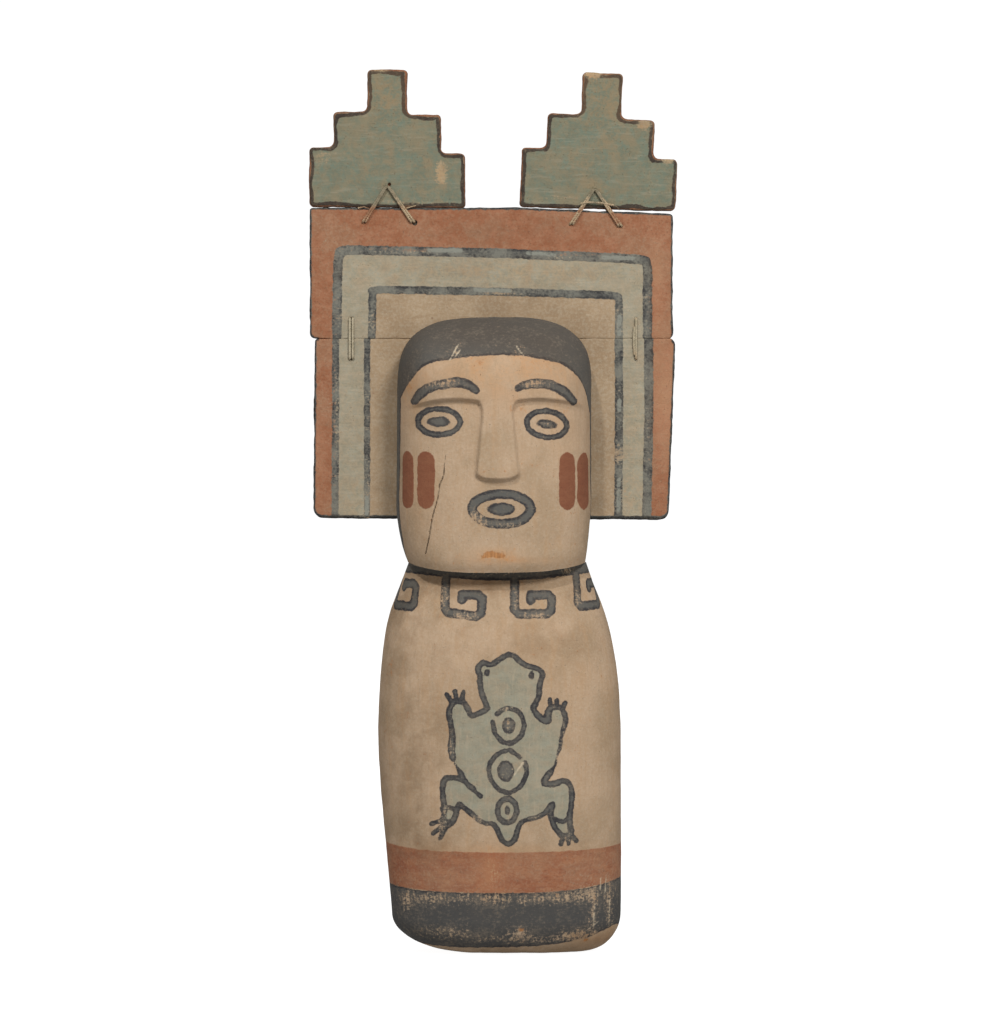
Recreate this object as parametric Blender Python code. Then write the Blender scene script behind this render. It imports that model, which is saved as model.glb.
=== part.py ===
"""A carved and painted wooden doll: one block for body and head, a headdress of two boards, and two stepped
cloud terraces lashed on top with cord. Metres, +Z up. The figure looks along -Y and stands on its flat base,
and the origin is on that base, below the neck."""

import math

import bmesh
import bpy
from mathutils import Vector

# Body, from the flat base to the groove of the neck
BODY_HEIGHT = 0.1312
BODY_WIDTH = 0.0823
BODY_FRONT = 0.0255  # from the figure's axis forwards
BODY_BACK = 0.0225  # and backwards
BASE_ROUNDING = 0.0120
BASE_ROUNDING_LEFT = 0.0245  # the left side's foot is rounded more
BASE_ROUNDING_HEIGHT = 0.0128

# Head, from the groove of the neck to the crown
HEAD_HEIGHT = 0.0826
HEAD_WIDTH = 0.0658
HEAD_FRONT = 0.0262
HEAD_BACK = 0.0150
HEAD_SHIFT = -0.0019  # the head sits a little to one side
CHIN_DIP = 0.0028  # how much lower the chin is in the middle than at the sides
CROWN_START = 0.70  # share of the head's height where the crown begins to round over
CROWN_POWER = 3.05
CROWN_FRONT_POWER = 2.25

# Face
BROW_SHARE = 0.6634  # the brow above the neck, as a share of the head's height
BROW_ABOVE_NECK = BROW_SHARE * HEAD_HEIGHT
BROW_RELIEF = 0.0021
BROW_EDGE = 0.0016
BROW_ARCH = 0.0022
BROW_ARCH_CENTRE = 0.0137
NOSE_SHARE = 0.3245  # the nose's length, as a share of the head's height
NOSE_LENGTH = NOSE_SHARE * HEAD_HEIGHT
NOSE_TOP_WIDTH = 0.0090
NOSE_FOOT_WIDTH = 0.0142
NOSE_FOOT_RELIEF = 0.0038
NOSE_SIDE_SLOPE = 0.0008
FACE_SHIFT = 0.0011  # the features' middle line, from the head's

# Headdress
PIECE_GAP = 0.0003
BOARD_THICKNESS = 0.0065
BOARD_EDGE = 0.0011  # the rubbed edge all round a board
SEAT_BACK = 0.0080  # the flat cut behind the head, from the figure's axis
LEDGE_ABOVE_NECK = 0.0138  # the ledge below that flat
SEAM_BELOW_CROWN = 0.00745  # the middle of the seam between the boards, below the top of the head
LOWER_BOARD_LEFT = 0.0630  # from the figure's axis
LOWER_BOARD_RIGHT = 0.0598
LOWER_BOARD_LEAN_IN = 0.0024  # the right edge comes in towards the foot
LOWER_BOARD_LEAN_OUT = 0.0006  # and the left one goes out
UPPER_BOARD_HEIGHT = 0.0444
UPPER_BOARD_LEFT = 0.0647
UPPER_BOARD_RIGHT = 0.0588
UPPER_BOARD_BEND = 0.0060  # right of here the top edge falls away
UPPER_BOARD_FALL = math.radians(2.2)
BOARD_CORNER = 0.0026

# Terraces
TERRACE_HEIGHT = 0.0462
TERRACE_WIDTH = 0.0534
TERRACE_MIDDLE_WIDTH = 0.0369
TERRACE_TOP_WIDTH = 0.0141
TERRACE_FIRST_STEP = 0.0202
TERRACE_SECOND_STEP = 0.0321
TERRACE_STEP_FALL = 0.0021  # the steps on the right are cut lower
TERRACE_CORNER = 0.0018
TERRACE_INNER_CORNER = 0.0016
LEFT_TERRACE_CENTRE = -0.0381
RIGHT_TERRACE_CENTRE = 0.0330
LEFT_TERRACE_GAP = 0.0003
RIGHT_TERRACE_GAP = 0.0003

# Lashings: each leg is two turns of cord between a hole in the board and one in the terrace
CORD_DIAMETER = 0.00085
CORD_CLEARANCE = 0.0003
STRAND_PITCH = 0.00110
HOLE_RISE = 0.1  # a hole for a row of strands is this much higher for its width
TIE_HOLE_UP = 0.0064  # above the terrace's foot
TIE_HOLE_DOWN = 0.0051  # below the board's top edge
TIE_LEGS = (0.0078, 0.0086)  # how far the legs reach to the left and to the right
LEFT_TIE_SHIFT = 0.0
RIGHT_TIE_SHIFT = -0.0010
STITCH_REACH = 0.0068  # the stitch's holes above and below the seam
STITCHES = ((-0.0503, 2), (0.0460, 1))  # place across, and turns of cord

# Sections of the figure: powers of the superellipse
BODY_POWER = 2.35
HEAD_POWER = 2.6

# Shares of the body's height, half width on the left and on the right, front and back
BODY_SHAPE = (
    (0.098, 0.893, 0.999, 0.90, 0.89),
    (0.260, 0.941, 1.003, 0.95, 0.95),
    (0.424, 0.985, 0.997, 0.99, 0.99),
    (0.588, 1.004, 0.993, 1.00, 1.00),
    (0.751, 0.975, 0.952, 0.97, 0.96),
    (0.873, 0.905, 0.860, 0.84, 0.86),
    (0.950, 0.812, 0.765, 0.69, 0.73),
    (1.000, 0.752, 0.712, 0.58, 0.62),
)
# The same for the head, above the chin
HEAD_SHAPE = (
    (0.000, 0.890, 0.940, 0.880, 0.99),
    (0.028, 0.915, 0.952, 0.930, 1.00),
    (0.110, 0.972, 0.974, 0.965, 1.00),
    (0.180, 1.000, 0.990, 0.980, 1.00),
    (0.380, 1.003, 0.996, 1.000, 1.00),
    (0.660, 1.000, 1.000, 0.990, 1.00),
)

# How finely the solids are faceted
FRONT_COLUMNS = 34
BACK_COLUMNS = 14
BASE_RINGS = 4
CROWN_RINGS = 9
RINGS_PER_SPAN = 2
FACE_RING_PITCH = 0.0032
BROW_RING_PITCH = 0.0013
BROW_BAND = 0.0042  # finer rings this far above and below the brow
CORNER_STEPS = 3
HOLE_SIDES = 12


def clear_scene():
    for old in list(bpy.data.objects):
        bpy.data.objects.remove(old, do_unlink=True)


def material(name, colour, roughness):
    made = bpy.data.materials.new(name)
    made.use_nodes = True
    shader = made.node_tree.nodes["Principled BSDF"]
    shader.inputs["Base Color"].default_value = (*colour, 1.0)
    shader.inputs["Roughness"].default_value = roughness
    shader.inputs["Metallic"].default_value = 0.0
    return made


def mesh_object(name, bm, mat=None):
    mesh = bpy.data.meshes.new(name)
    bm.normal_update()
    bmesh.ops.recalc_face_normals(bm, faces=bm.faces)
    bm.to_mesh(mesh)
    bm.free()
    if mat:
        mesh.materials.append(mat)
    made = bpy.data.objects.new(name, mesh)
    bpy.context.scene.collection.objects.link(made)
    return made


def as_tool(obj):
    """Marks a shape that only cuts or joins another."""
    obj.hide_render = True
    obj.display_type = "WIRE"
    return obj


def boolean(obj, tool, operation):
    modifier = obj.modifiers.new(operation.title() + " " + tool.name, "BOOLEAN")
    modifier.operation = operation
    modifier.object = tool
    modifier.solver = "EXACT"


def smooth_step(value):
    value = min(1.0, max(0.0, value))
    return value * value * (3.0 - 2.0 * value)


def through(rows, place):
    """A smooth curve through rows of numbers, read at place, which counts rows from 0."""
    last = len(rows) - 1
    start = min(int(place), last - 1)
    t = place - start
    before, here, there, after = (rows[min(max(start + k, 0), last)] for k in (-1, 0, 1, 2))
    return [
        0.5 * (2 * b + (c - a) * t + (2 * a - 5 * b + 4 * c - d) * t * t + (3 * b - a - 3 * c + d) * t**3)
        for a, b, c, d in zip(before, here, there, after)
    ]


class Ring:
    """One level of the figure: its height, half widths, depths, sideways shift, power, chin dip and seat."""

    def __init__(self, height, left, right, front, back, shift=0.0, power=BODY_POWER, dip=0.0, seat=None):
        self.height, self.left, self.right = height, left, right
        self.front, self.back, self.shift = front, back, shift
        self.power, self.dip, self.seat = power, dip, seat

    def point(self, angle):
        """The outline at an angle from straight ahead, positive towards +X."""
        across, ahead = math.sin(angle), math.cos(angle)
        width = self.right if across > 0 else self.left
        depth = self.front if ahead > 0 else self.back
        x = math.copysign(abs(across) ** (2 / self.power), across)
        y = -math.copysign(abs(ahead) ** (2 / self.power), ahead)
        low = self.dip * (1 - abs(x) ** 3) if ahead > 0 else 0.0
        return Vector((self.shift + x * width, y * depth, self.height - low))


def body_rings():
    """Rounded base edge, then the body up to the deepest line of the neck."""
    half = BODY_WIDTH / 2
    _, left, right, front, back = BODY_SHAPE[0]
    rings = []
    for k in range(BASE_RINGS):
        turn = math.pi / 2 * k / BASE_RINGS
        narrower = 1 - math.sin(turn)
        inset = BASE_ROUNDING * narrower
        left_inset = BASE_ROUNDING_LEFT * narrower
        height = BASE_ROUNDING_HEIGHT * (1 - math.cos(turn))
        front_reach, back_reach = front * BODY_FRONT - inset, back * BODY_BACK - inset
        rings.append(Ring(height, left * half - left_inset, right * half - inset, front_reach, back_reach))
    spans = len(BODY_SHAPE) - 1
    for k in range(spans * RINGS_PER_SPAN + 1):
        share, left, right, front, back = through(BODY_SHAPE, k / RINGS_PER_SPAN)
        height = BASE_ROUNDING_HEIGHT + (BODY_HEIGHT - BASE_ROUNDING_HEIGHT) * (share - BODY_SHAPE[0][0]) / (
            1 - BODY_SHAPE[0][0]
        )
        dip = CHIN_DIP * smooth_step((share - 0.88) / 0.12)
        rings.append(Ring(height, left * half, right * half, front * BODY_FRONT, back * BODY_BACK, dip=dip))
    return rings


def head_ring(share):
    """The head at a share of its height, the crown's rounding included, without the flat behind."""
    last = len(HEAD_SHAPE) - 1
    place = next((k for k in range(last) if share <= HEAD_SHAPE[k + 1][0]), last - 1)
    low, high = HEAD_SHAPE[place][0], HEAD_SHAPE[place + 1][0]
    row = through(HEAD_SHAPE, min(last, place + (share - low) / (high - low)))
    half = HEAD_WIDTH / 2
    rise = max(0.0, (share - CROWN_START) / (1 - CROWN_START))
    across = (1 - rise**CROWN_POWER) ** (1 / CROWN_POWER)
    ahead = (1 - rise**CROWN_FRONT_POWER) ** (1 / CROWN_FRONT_POWER)
    behind = 1 - (1 - SEAT_BACK / HEAD_BACK) * rise**4
    dip = CHIN_DIP * (1 - smooth_step(share / 0.22))
    return Ring(
        BODY_HEIGHT + share * HEAD_HEIGHT,
        row[1] * half * across,
        row[2] * half * across,
        row[3] * HEAD_FRONT * ahead,
        row[4] * HEAD_BACK * behind,
        shift=HEAD_SHIFT,
        power=HEAD_POWER,
        dip=dip,
    )


def head_rings():
    """From the chin's lower edge to the crown, with the ledge and the flat that the boards stand against."""
    ledge = LEDGE_ABOVE_NECK / HEAD_HEIGHT
    shares = [0.0, 0.012, 0.030, 0.065, 0.110]
    shares += [ledge, ledge]
    brow_low = (BROW_ABOVE_NECK - BROW_BAND) / HEAD_HEIGHT
    brow_high = (BROW_ABOVE_NECK + BROW_BAND * 0.5) / HEAD_HEIGHT
    stretches = (
        (ledge, brow_low, FACE_RING_PITCH),
        (brow_low, brow_high, BROW_RING_PITCH),
        (brow_high, CROWN_START, FACE_RING_PITCH),
    )
    for low, high, pitch in stretches:
        if high > low:
            steps = max(1, round((high - low) * HEAD_HEIGHT / pitch))
            shares += [low + (high - low) * k / steps for k in range(1, steps + 1)]
    for k in range(1, CROWN_RINGS + 1):
        shares.append(CROWN_START + (1 - CROWN_START) * math.sin(math.pi / 2 * k / (CROWN_RINGS + 0.35)))
    rings = [head_ring(share) for share in shares]
    seated = shares.index(ledge) + 1
    for ring in rings[seated:]:
        ring.seat = SEAT_BACK
    return rings


def brow_line(x):
    """Height of the brow's lower edge above the neck, two shallow arches."""
    off = (abs(x) - BROW_ARCH_CENTRE) / BROW_ARCH_CENTRE
    return BROW_ABOVE_NECK - BROW_ARCH * off * off


def brow_relief(x, above):
    """How far the forehead stands proud of the cheeks, at x from the face's middle and above the neck."""
    over = smooth_step((above - brow_line(x)) / BROW_EDGE + 0.5)
    fade_up = 1 - smooth_step((above - BROW_ABOVE_NECK) / (HEAD_HEIGHT - BROW_ABOVE_NECK))
    fade_out = 1 - smooth_step((abs(x) / HEAD_WIDTH * 2 - 0.70) / 0.28)
    return BROW_RELIEF * over * fade_up * fade_out


def evenly(points, count):
    """count points along an open line of points, the first included and the last left out."""
    lengths = [0.0]
    for a, b in zip(points, points[1:]):
        lengths.append(lengths[-1] + (b - a).length)
    found, k = [], 0
    for n in range(count):
        wanted = lengths[-1] * n / count
        while lengths[k + 1] < wanted:
            k += 1
        share = (wanted - lengths[k]) / max(lengths[k + 1] - lengths[k], 1e-12)
        found.append(points[k].lerp(points[k + 1], share))
    return found


def ring_points(ring, fine=90):
    """The ring's outline, evenly spaced along its front and along its back."""
    front = [ring.point(math.pi * (k / fine - 0.5)) for k in range(fine + 1)]
    back = [ring.point(math.pi * (k / fine + 0.5)) for k in range(fine + 1)]
    points = evenly(front, FRONT_COLUMNS) + evenly(back, BACK_COLUMNS)
    for p in points:
        if ring.seat is not None:
            p.y = min(p.y, ring.seat)
        if p.y < 0 and ring.height > BODY_HEIGHT:
            p.y -= brow_relief(p.x - HEAD_SHIFT - FACE_SHIFT, p.z - BODY_HEIGHT)
    return points


def figure_mesh():
    bm = bmesh.new()
    loops = [[bm.verts.new(p) for p in ring_points(ring)] for ring in body_rings() + head_rings()]
    count = len(loops[0])
    for low, high in zip(loops, loops[1:]):
        for k in range(count):
            n = (k + 1) % count
            corners = []
            for corner in (low[k], low[n], high[n], high[k]):
                if all((corner.co - other.co).length > 1e-9 for other in corners):
                    corners.append(corner)
            if len(corners) > 2:
                bm.faces.new(corners)
    bm.faces.new(reversed(loops[0]))
    bm.faces.new(loops[-1])
    bmesh.ops.remove_doubles(bm, verts=bm.verts, dist=1e-7)
    return bm


def nose_mesh():
    """The nose as a wedge, narrow and low at the brow, wide and proud at its foot."""
    middle = HEAD_SHIFT + FACE_SHIFT
    root = BODY_HEIGHT + BROW_ABOVE_NECK - 0.002
    foot = root - NOSE_LENGTH
    deep = HEAD_FRONT * 0.6
    brow = HEAD_FRONT + BROW_RELIEF
    levels = (
        (root + 0.007, NOSE_TOP_WIDTH, brow - 0.0009),
        (root, NOSE_TOP_WIDTH, brow + 0.0001),
        (foot + 0.0006, NOSE_FOOT_WIDTH, HEAD_FRONT + NOSE_FOOT_RELIEF),
        (foot, NOSE_FOOT_WIDTH - 0.0006, HEAD_FRONT + NOSE_FOOT_RELIEF - 0.0012),
        (foot - 0.0006, NOSE_FOOT_WIDTH - 0.0010, deep),
    )
    bm = bmesh.new()
    loops = []
    for height, width, proud in levels:
        front, back = width / 2, width / 2 + NOSE_SIDE_SLOPE * (1 if proud > deep else 0)
        corners = ((-front, -proud), (front, -proud), (back, -deep * 0.98), (-back, -deep * 0.98))
        loops.append([bm.verts.new((middle + x, y, height)) for x, y in corners])
    for high, low in zip(loops, loops[1:]):
        for k in range(4):
            n = (k + 1) % 4
            bm.faces.new((high[k], high[n], low[n], low[k]))
    bm.faces.new(loops[0])
    bm.faces.new(reversed(loops[-1]))
    return bm


def make_figure(paint):
    figure = mesh_object("figure", figure_mesh(), paint)
    nose = as_tool(mesh_object("nose_shape", nose_mesh()))
    boolean(figure, nose, "UNION")
    return figure


def rounded(corners, steps=CORNER_STEPS):
    """A closed outline of (x, z) from corners of (x, z, radius), each turned with an arc."""
    outline = []
    for k, (x, z, radius) in enumerate(corners):
        here = Vector((x, z))
        to_last = (Vector(corners[k - 1][:2]) - here).normalized()
        to_next = (Vector(corners[(k + 1) % len(corners)][:2]) - here).normalized()
        if radius <= 0:
            outline.append(here)
            continue
        half = to_last.angle(to_next) / 2
        reach = radius / math.tan(half)
        middle = here + (to_last + to_next).normalized() * (radius / math.sin(half))
        start, end = here + to_last * reach - middle, here + to_next * reach - middle
        sweep = start.angle_signed(end)
        for n in range(steps + 1):
            turn = -sweep * n / steps
            turned = Vector(
                (
                    start.x * math.cos(turn) - start.y * math.sin(turn),
                    start.x * math.sin(turn) + start.y * math.cos(turn),
                )
            )
            outline.append(middle + turned)
    return outline


def board_front():
    return SEAT_BACK + PIECE_GAP


def board_back():
    return board_front() + BOARD_THICKNESS


def board_object(name, corners, paint):
    """A flat board with rubbed edges, from its outline."""
    bm = bmesh.new()
    face = bm.faces.new([bm.verts.new((p.x, board_front(), p.y)) for p in rounded(corners)])
    made = bmesh.ops.extrude_face_region(bm, geom=[face])
    moved = [v for v in made["geom"] if isinstance(v, bmesh.types.BMVert)]
    bmesh.ops.translate(bm, verts=moved, vec=(0, BOARD_THICKNESS, 0))
    rims = [e for e in bm.edges if abs(e.verts[0].co.y - e.verts[1].co.y) < 1e-6]
    bmesh.ops.bevel(bm, geom=rims, offset=BOARD_EDGE, segments=1, profile=0.5, affect="EDGES", clamp_overlap=True)
    return mesh_object(name, bm, paint)


def lower_board_foot():
    return BODY_HEIGHT + LEDGE_ABOVE_NECK + PIECE_GAP


def seam_height():
    """The middle of the gap between the two boards."""
    return BODY_HEIGHT + HEAD_HEIGHT - SEAM_BELOW_CROWN


def upper_board_foot():
    return seam_height() + PIECE_GAP / 2


def upper_board_top(x):
    """The upper board's top edge, level at first and then falling to the right."""
    return upper_board_foot() + UPPER_BOARD_HEIGHT - max(0.0, x - UPPER_BOARD_BEND) * math.tan(UPPER_BOARD_FALL)


def make_lower_board(paint):
    foot, top = lower_board_foot(), seam_height() - PIECE_GAP / 2
    corners = (
        (-LOWER_BOARD_LEFT - LOWER_BOARD_LEAN_OUT, foot, BOARD_CORNER * 1.5),
        (LOWER_BOARD_RIGHT - LOWER_BOARD_LEAN_IN, foot, BOARD_CORNER * 1.2),
        (LOWER_BOARD_RIGHT, top, BOARD_CORNER),
        (-LOWER_BOARD_LEFT, top, BOARD_CORNER * 0.35),
    )
    return board_object("tableta_lower_board", corners, paint)


def make_upper_board(paint):
    foot = upper_board_foot()
    corners = (
        (-UPPER_BOARD_LEFT, foot, BOARD_CORNER),
        (UPPER_BOARD_RIGHT, foot, BOARD_CORNER * 0.8),
        (UPPER_BOARD_RIGHT, upper_board_top(UPPER_BOARD_RIGHT), BOARD_CORNER * 0.6),
        (UPPER_BOARD_BEND, upper_board_top(UPPER_BOARD_BEND), 0),
        (-UPPER_BOARD_LEFT, upper_board_top(-UPPER_BOARD_LEFT), BOARD_CORNER * 0.5),
    )
    return board_object("tableta_upper_board", corners, paint)


def terrace_foot(centre, gap):
    return upper_board_top(centre) + gap


def make_terrace(name, centre, gap, lean, paint):
    """A stepped cloud: three tiers on each side, turned by lean about the middle of its foot."""
    wide, middle, narrow = TERRACE_WIDTH / 2, TERRACE_MIDDLE_WIDTH / 2, TERRACE_TOP_WIDTH / 2
    first, second, fall = TERRACE_FIRST_STEP, TERRACE_SECOND_STEP, TERRACE_STEP_FALL
    outer, inner = TERRACE_CORNER, TERRACE_INNER_CORNER
    right = (
        (wide, 0, outer),
        (wide, first - fall, outer),
        (middle, first - fall, inner),
        (middle, second - fall / 2, outer),
        (narrow, second - fall / 2, inner),
        (narrow, TERRACE_HEIGHT, outer),
    )
    left = (
        (-narrow, TERRACE_HEIGHT, outer),
        (-narrow, second, inner),
        (-middle, second, outer),
        (-middle, first, inner),
        (-wide, first, outer * 0.7),
        (-wide, 0, outer),
    )
    foot = terrace_foot(centre, gap)
    corners = []
    for x, z, radius in right + left:
        turned_x = x * math.cos(lean) + z * math.sin(lean)
        turned_z = z * math.cos(lean) - x * math.sin(lean)
        corners.append((centre + turned_x, foot + turned_z, radius))
    return board_object(name, corners, paint)


def hole_cutter(name, places):
    """Cutters through the boards, one for each (x, z, half width, half height)."""
    bm = bmesh.new()
    middle = (board_front() + board_back()) / 2
    for x, z, half_width, half_height in places:
        made = bmesh.ops.create_cone(
            bm, cap_ends=True, segments=HOLE_SIDES, radius1=1.0, radius2=1.0, depth=BOARD_THICKNESS * 2
        )
        for v in made["verts"]:
            v.co = Vector((x + v.co.x * half_width, middle + v.co.z, z + v.co.y * half_height))
    return as_tool(mesh_object(name, bm))


def hole_for(x, z, strands):
    """A hole that lets a row of strands through side by side."""
    across = (strands - 1) * STRAND_PITCH / 2
    round_half = CORD_DIAMETER / 2 + CORD_CLEARANCE
    return x, z, across + round_half, round_half + across * HOLE_RISE


def tie_places(centre, gap, shift):
    """Where a terrace's lashing goes through: the terrace's hole and the board's two, as (x, z)."""
    x = centre + shift
    left, right = x - TIE_LEGS[0], x + TIE_LEGS[1]
    apex = (x, terrace_foot(centre, gap) + TIE_HOLE_UP)
    return apex, (left, upper_board_top(left) - TIE_HOLE_DOWN), (right, upper_board_top(right) - TIE_HOLE_DOWN)


def softened(corners, radius):
    """A closed line through corners, each corner turned by a short curve."""
    line = []
    count = len(corners)
    for k, corner in enumerate(corners):
        last, after = corners[k - 1], corners[(k + 1) % count]
        start = corner + (last - corner).normalized() * radius
        end = corner + (after - corner).normalized() * radius
        for t in (0.0, 0.5, 1.0):
            line.append(start.lerp(corner, t).lerp(corner.lerp(end, t), t))
    return line


def cord_object(name, strands, fibre):
    """One endless cord. Each strand crosses the front from one hole to another, as ((x, z), (x, z)), and
    behind the boards the cord goes on to the next strand's start, in a lane clear of those it crosses."""
    off = CORD_DIAMETER / 2 + CORD_CLEARANCE
    front, back = board_front() - off, board_back() + off
    corners = []
    for k, ((x1, z1), (x2, z2)) in enumerate(strands):
        lane = (k + 1) // 2 if k % 2 else 0
        behind = back + lane * (CORD_DIAMETER + CORD_CLEARANCE)
        next_x, next_z = strands[(k + 1) % len(strands)][0]
        corners += [Vector((x1, front, z1)), Vector((x2, front, z2))]
        corners += [Vector((x2, behind, z2)), Vector((next_x, behind, next_z))]
    curve = bpy.data.curves.new(name, "CURVE")
    curve.dimensions = "3D"
    curve.bevel_depth = CORD_DIAMETER / 2
    curve.bevel_resolution = 2
    points = softened(corners, CORD_DIAMETER)
    spline = curve.splines.new("POLY")
    spline.points.add(len(points) - 1)
    for made, p in zip(spline.points, points):
        made.co = (*p, 1.0)
    spline.use_cyclic_u = True
    curve.materials.append(fibre)
    made = bpy.data.objects.new(name, curve)
    bpy.context.scene.collection.objects.link(made)
    return made


def tie_strands(places):
    """Two strands for each leg, four side by side in the terrace's hole."""
    apex, left, right = places
    strands = []
    for place, first in ((left, -1.5), (right, 0.5)):
        for turn in (0, 1):
            at_board = place[0] + (turn - 0.5) * STRAND_PITCH, place[1]
            at_apex = apex[0] + (first + turn) * STRAND_PITCH, apex[1]
            strands.append((at_board, at_apex))
    return strands


def stitch_strands(x, turns):
    """Strands across the seam, side by side."""
    rows = [x + (turn - (turns - 1) / 2) * STRAND_PITCH for turn in range(turns)]
    return [((row, seam_height() - STITCH_REACH), (row, seam_height() + STITCH_REACH)) for row in rows]


def main():
    clear_scene()
    body_paint = material("painted_figure", (0.46, 0.34, 0.24), 0.85)
    red_paint = material("painted_boards", (0.42, 0.20, 0.12), 0.85)
    green_paint = material("painted_terraces", (0.22, 0.23, 0.18), 0.85)
    fibre = material("cord", (0.55, 0.43, 0.31), 0.9)

    make_figure(body_paint)
    lower, upper = make_lower_board(red_paint), make_upper_board(red_paint)
    edge_holes = []
    terraces = (
        ("left", LEFT_TERRACE_CENTRE, LEFT_TERRACE_GAP, 0.0, LEFT_TIE_SHIFT),
        ("right", RIGHT_TERRACE_CENTRE, RIGHT_TERRACE_GAP, UPPER_BOARD_FALL, RIGHT_TIE_SHIFT),
    )
    for side, centre, gap, lean, shift in terraces:
        terrace = make_terrace(side + "_terrace", centre, gap, lean, green_paint)
        places = tie_places(centre, gap, shift)
        boolean(terrace, hole_cutter(side + "_terrace_hole", [hole_for(*places[0], 4)]), "DIFFERENCE")
        edge_holes += [hole_for(*place, 2) for place in places[1:]]
        cord_object(side + "_terrace_tie", tie_strands(places), fibre)

    below = [hole_for(x, seam_height() - STITCH_REACH, turns) for x, turns in STITCHES]
    above = [hole_for(x, seam_height() + STITCH_REACH, turns) for x, turns in STITCHES]
    boolean(lower, hole_cutter("lower_board_holes", below), "DIFFERENCE")
    boolean(upper, hole_cutter("upper_board_holes", above + edge_holes), "DIFFERENCE")
    for side, (x, turns) in zip(("left", "right"), STITCHES):
        cord_object(side + "_seam_stitch", stitch_strands(x, turns), fibre)


main()
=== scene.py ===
"""The looks of the carved and painted doll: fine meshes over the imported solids, earth paints laid on by
hand, twisted cord, a pale floor and soft studio light. Metres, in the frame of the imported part. Sizes that
end in _MM and all ornament are in millimetres."""

import math

import bmesh
import bpy
import numpy as np
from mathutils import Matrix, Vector, noise
from mathutils.geometry import delaunay_2d_cdt


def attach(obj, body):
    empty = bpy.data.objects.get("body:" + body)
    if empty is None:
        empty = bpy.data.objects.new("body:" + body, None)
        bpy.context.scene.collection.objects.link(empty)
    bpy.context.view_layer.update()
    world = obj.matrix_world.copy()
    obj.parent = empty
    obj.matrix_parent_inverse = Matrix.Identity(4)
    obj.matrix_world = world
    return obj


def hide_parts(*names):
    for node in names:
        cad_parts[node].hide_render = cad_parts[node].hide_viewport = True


MM = 0.001
FAR = 9.0  # how far inside or outside a painted shape is still told apart, in millimetres

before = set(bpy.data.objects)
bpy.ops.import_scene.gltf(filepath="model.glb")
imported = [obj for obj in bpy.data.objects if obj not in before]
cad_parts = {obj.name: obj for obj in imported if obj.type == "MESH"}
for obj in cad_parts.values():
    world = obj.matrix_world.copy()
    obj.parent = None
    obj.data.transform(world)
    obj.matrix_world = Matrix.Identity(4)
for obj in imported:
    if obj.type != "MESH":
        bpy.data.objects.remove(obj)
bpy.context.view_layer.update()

# Form of the figure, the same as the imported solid's
BODY_HEIGHT = 0.1312
BODY_WIDTH = 0.0823
BODY_FRONT = 0.0255
BODY_BACK = 0.0225
BASE_ROUNDING = 0.0120
BASE_ROUNDING_LEFT = 0.0245  # the left side's foot is rounded more
BASE_ROUNDING_HEIGHT = 0.0128
HEAD_HEIGHT = 0.0826
HEAD_WIDTH = 0.0658
HEAD_FRONT = 0.0262
HEAD_BACK = 0.0150
HEAD_SHIFT = -0.0019
CHIN_DIP = 0.0028
CROWN_START = 0.70
CROWN_POWER = 3.05
CROWN_FRONT_POWER = 2.25
SEAT_BACK = 0.0080
LEDGE_ABOVE_NECK = 0.0138
BODY_POWER = 2.35
HEAD_POWER = 2.6
BODY_SHAPE = (
    (0.098, 0.893, 0.999, 0.90, 0.89),
    (0.260, 0.941, 1.003, 0.95, 0.95),
    (0.424, 0.985, 0.997, 0.99, 0.99),
    (0.588, 1.004, 0.993, 1.00, 1.00),
    (0.751, 0.975, 0.952, 0.97, 0.96),
    (0.873, 0.905, 0.860, 0.84, 0.86),
    (0.950, 0.812, 0.765, 0.69, 0.73),
    (1.000, 0.752, 0.712, 0.58, 0.62),
)
HEAD_SHAPE = (
    (0.000, 0.890, 0.940, 0.880, 0.99),
    (0.028, 0.915, 0.952, 0.930, 1.00),
    (0.110, 0.972, 0.974, 0.965, 1.00),
    (0.180, 1.000, 0.990, 0.980, 1.00),
    (0.380, 1.003, 0.996, 1.000, 1.00),
    (0.660, 1.000, 1.000, 0.990, 1.00),
)

# Face
FACE_MIDDLE = HEAD_SHIFT + 0.0011
BROW_ABOVE_NECK = 0.0548
BROW_RELIEF = 0.0021
BROW_EDGE = 0.0016
BROW_ARCH = 0.0022
BROW_ARCH_CENTRE = 0.0137
NOSE_LENGTH = 0.0265
NOSE_TOP_HALF = 0.0042
NOSE_FOOT_HALF = 0.0069
NOSE_SLOPE = 0.0011
NOSE_ROOT_FLARE = 0.0042  # its sides sweep out into the brow
NOSE_FOOT_RELIEF = 0.0023
NOSE_FOOT_EDGE = 0.0016  # how soon its foot falls back to the face
NOSE_FOOT_SMILE = 0.0015  # how much higher the foot's corners are

# How finely the figure is meshed
FRONT_COLUMNS = 186
BACK_COLUMNS = 44
BODY_PITCH = 0.00062
HEAD_PITCH = 0.00044
CROWN_RINGS = 46


def at_share(rows, share):
    """The smooth curve through rows, read at a share, which is each row's first number."""
    rows = np.array(rows)
    slopes = np.gradient(rows, rows[:, 0], axis=0)
    k = int(np.clip(np.searchsorted(rows[:, 0], share) - 1, 0, len(rows) - 2))
    span = rows[k + 1, 0] - rows[k, 0]
    t = min((share - rows[k, 0]) / span, 1.0)
    from_low = (2 * t**3 - 3 * t**2 + 1) * rows[k] + (t**3 - 2 * t**2 + t) * span * slopes[k]
    return from_low + (3 * t**2 - 2 * t**3) * rows[k + 1] + (t**3 - t**2) * span * slopes[k + 1]


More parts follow.
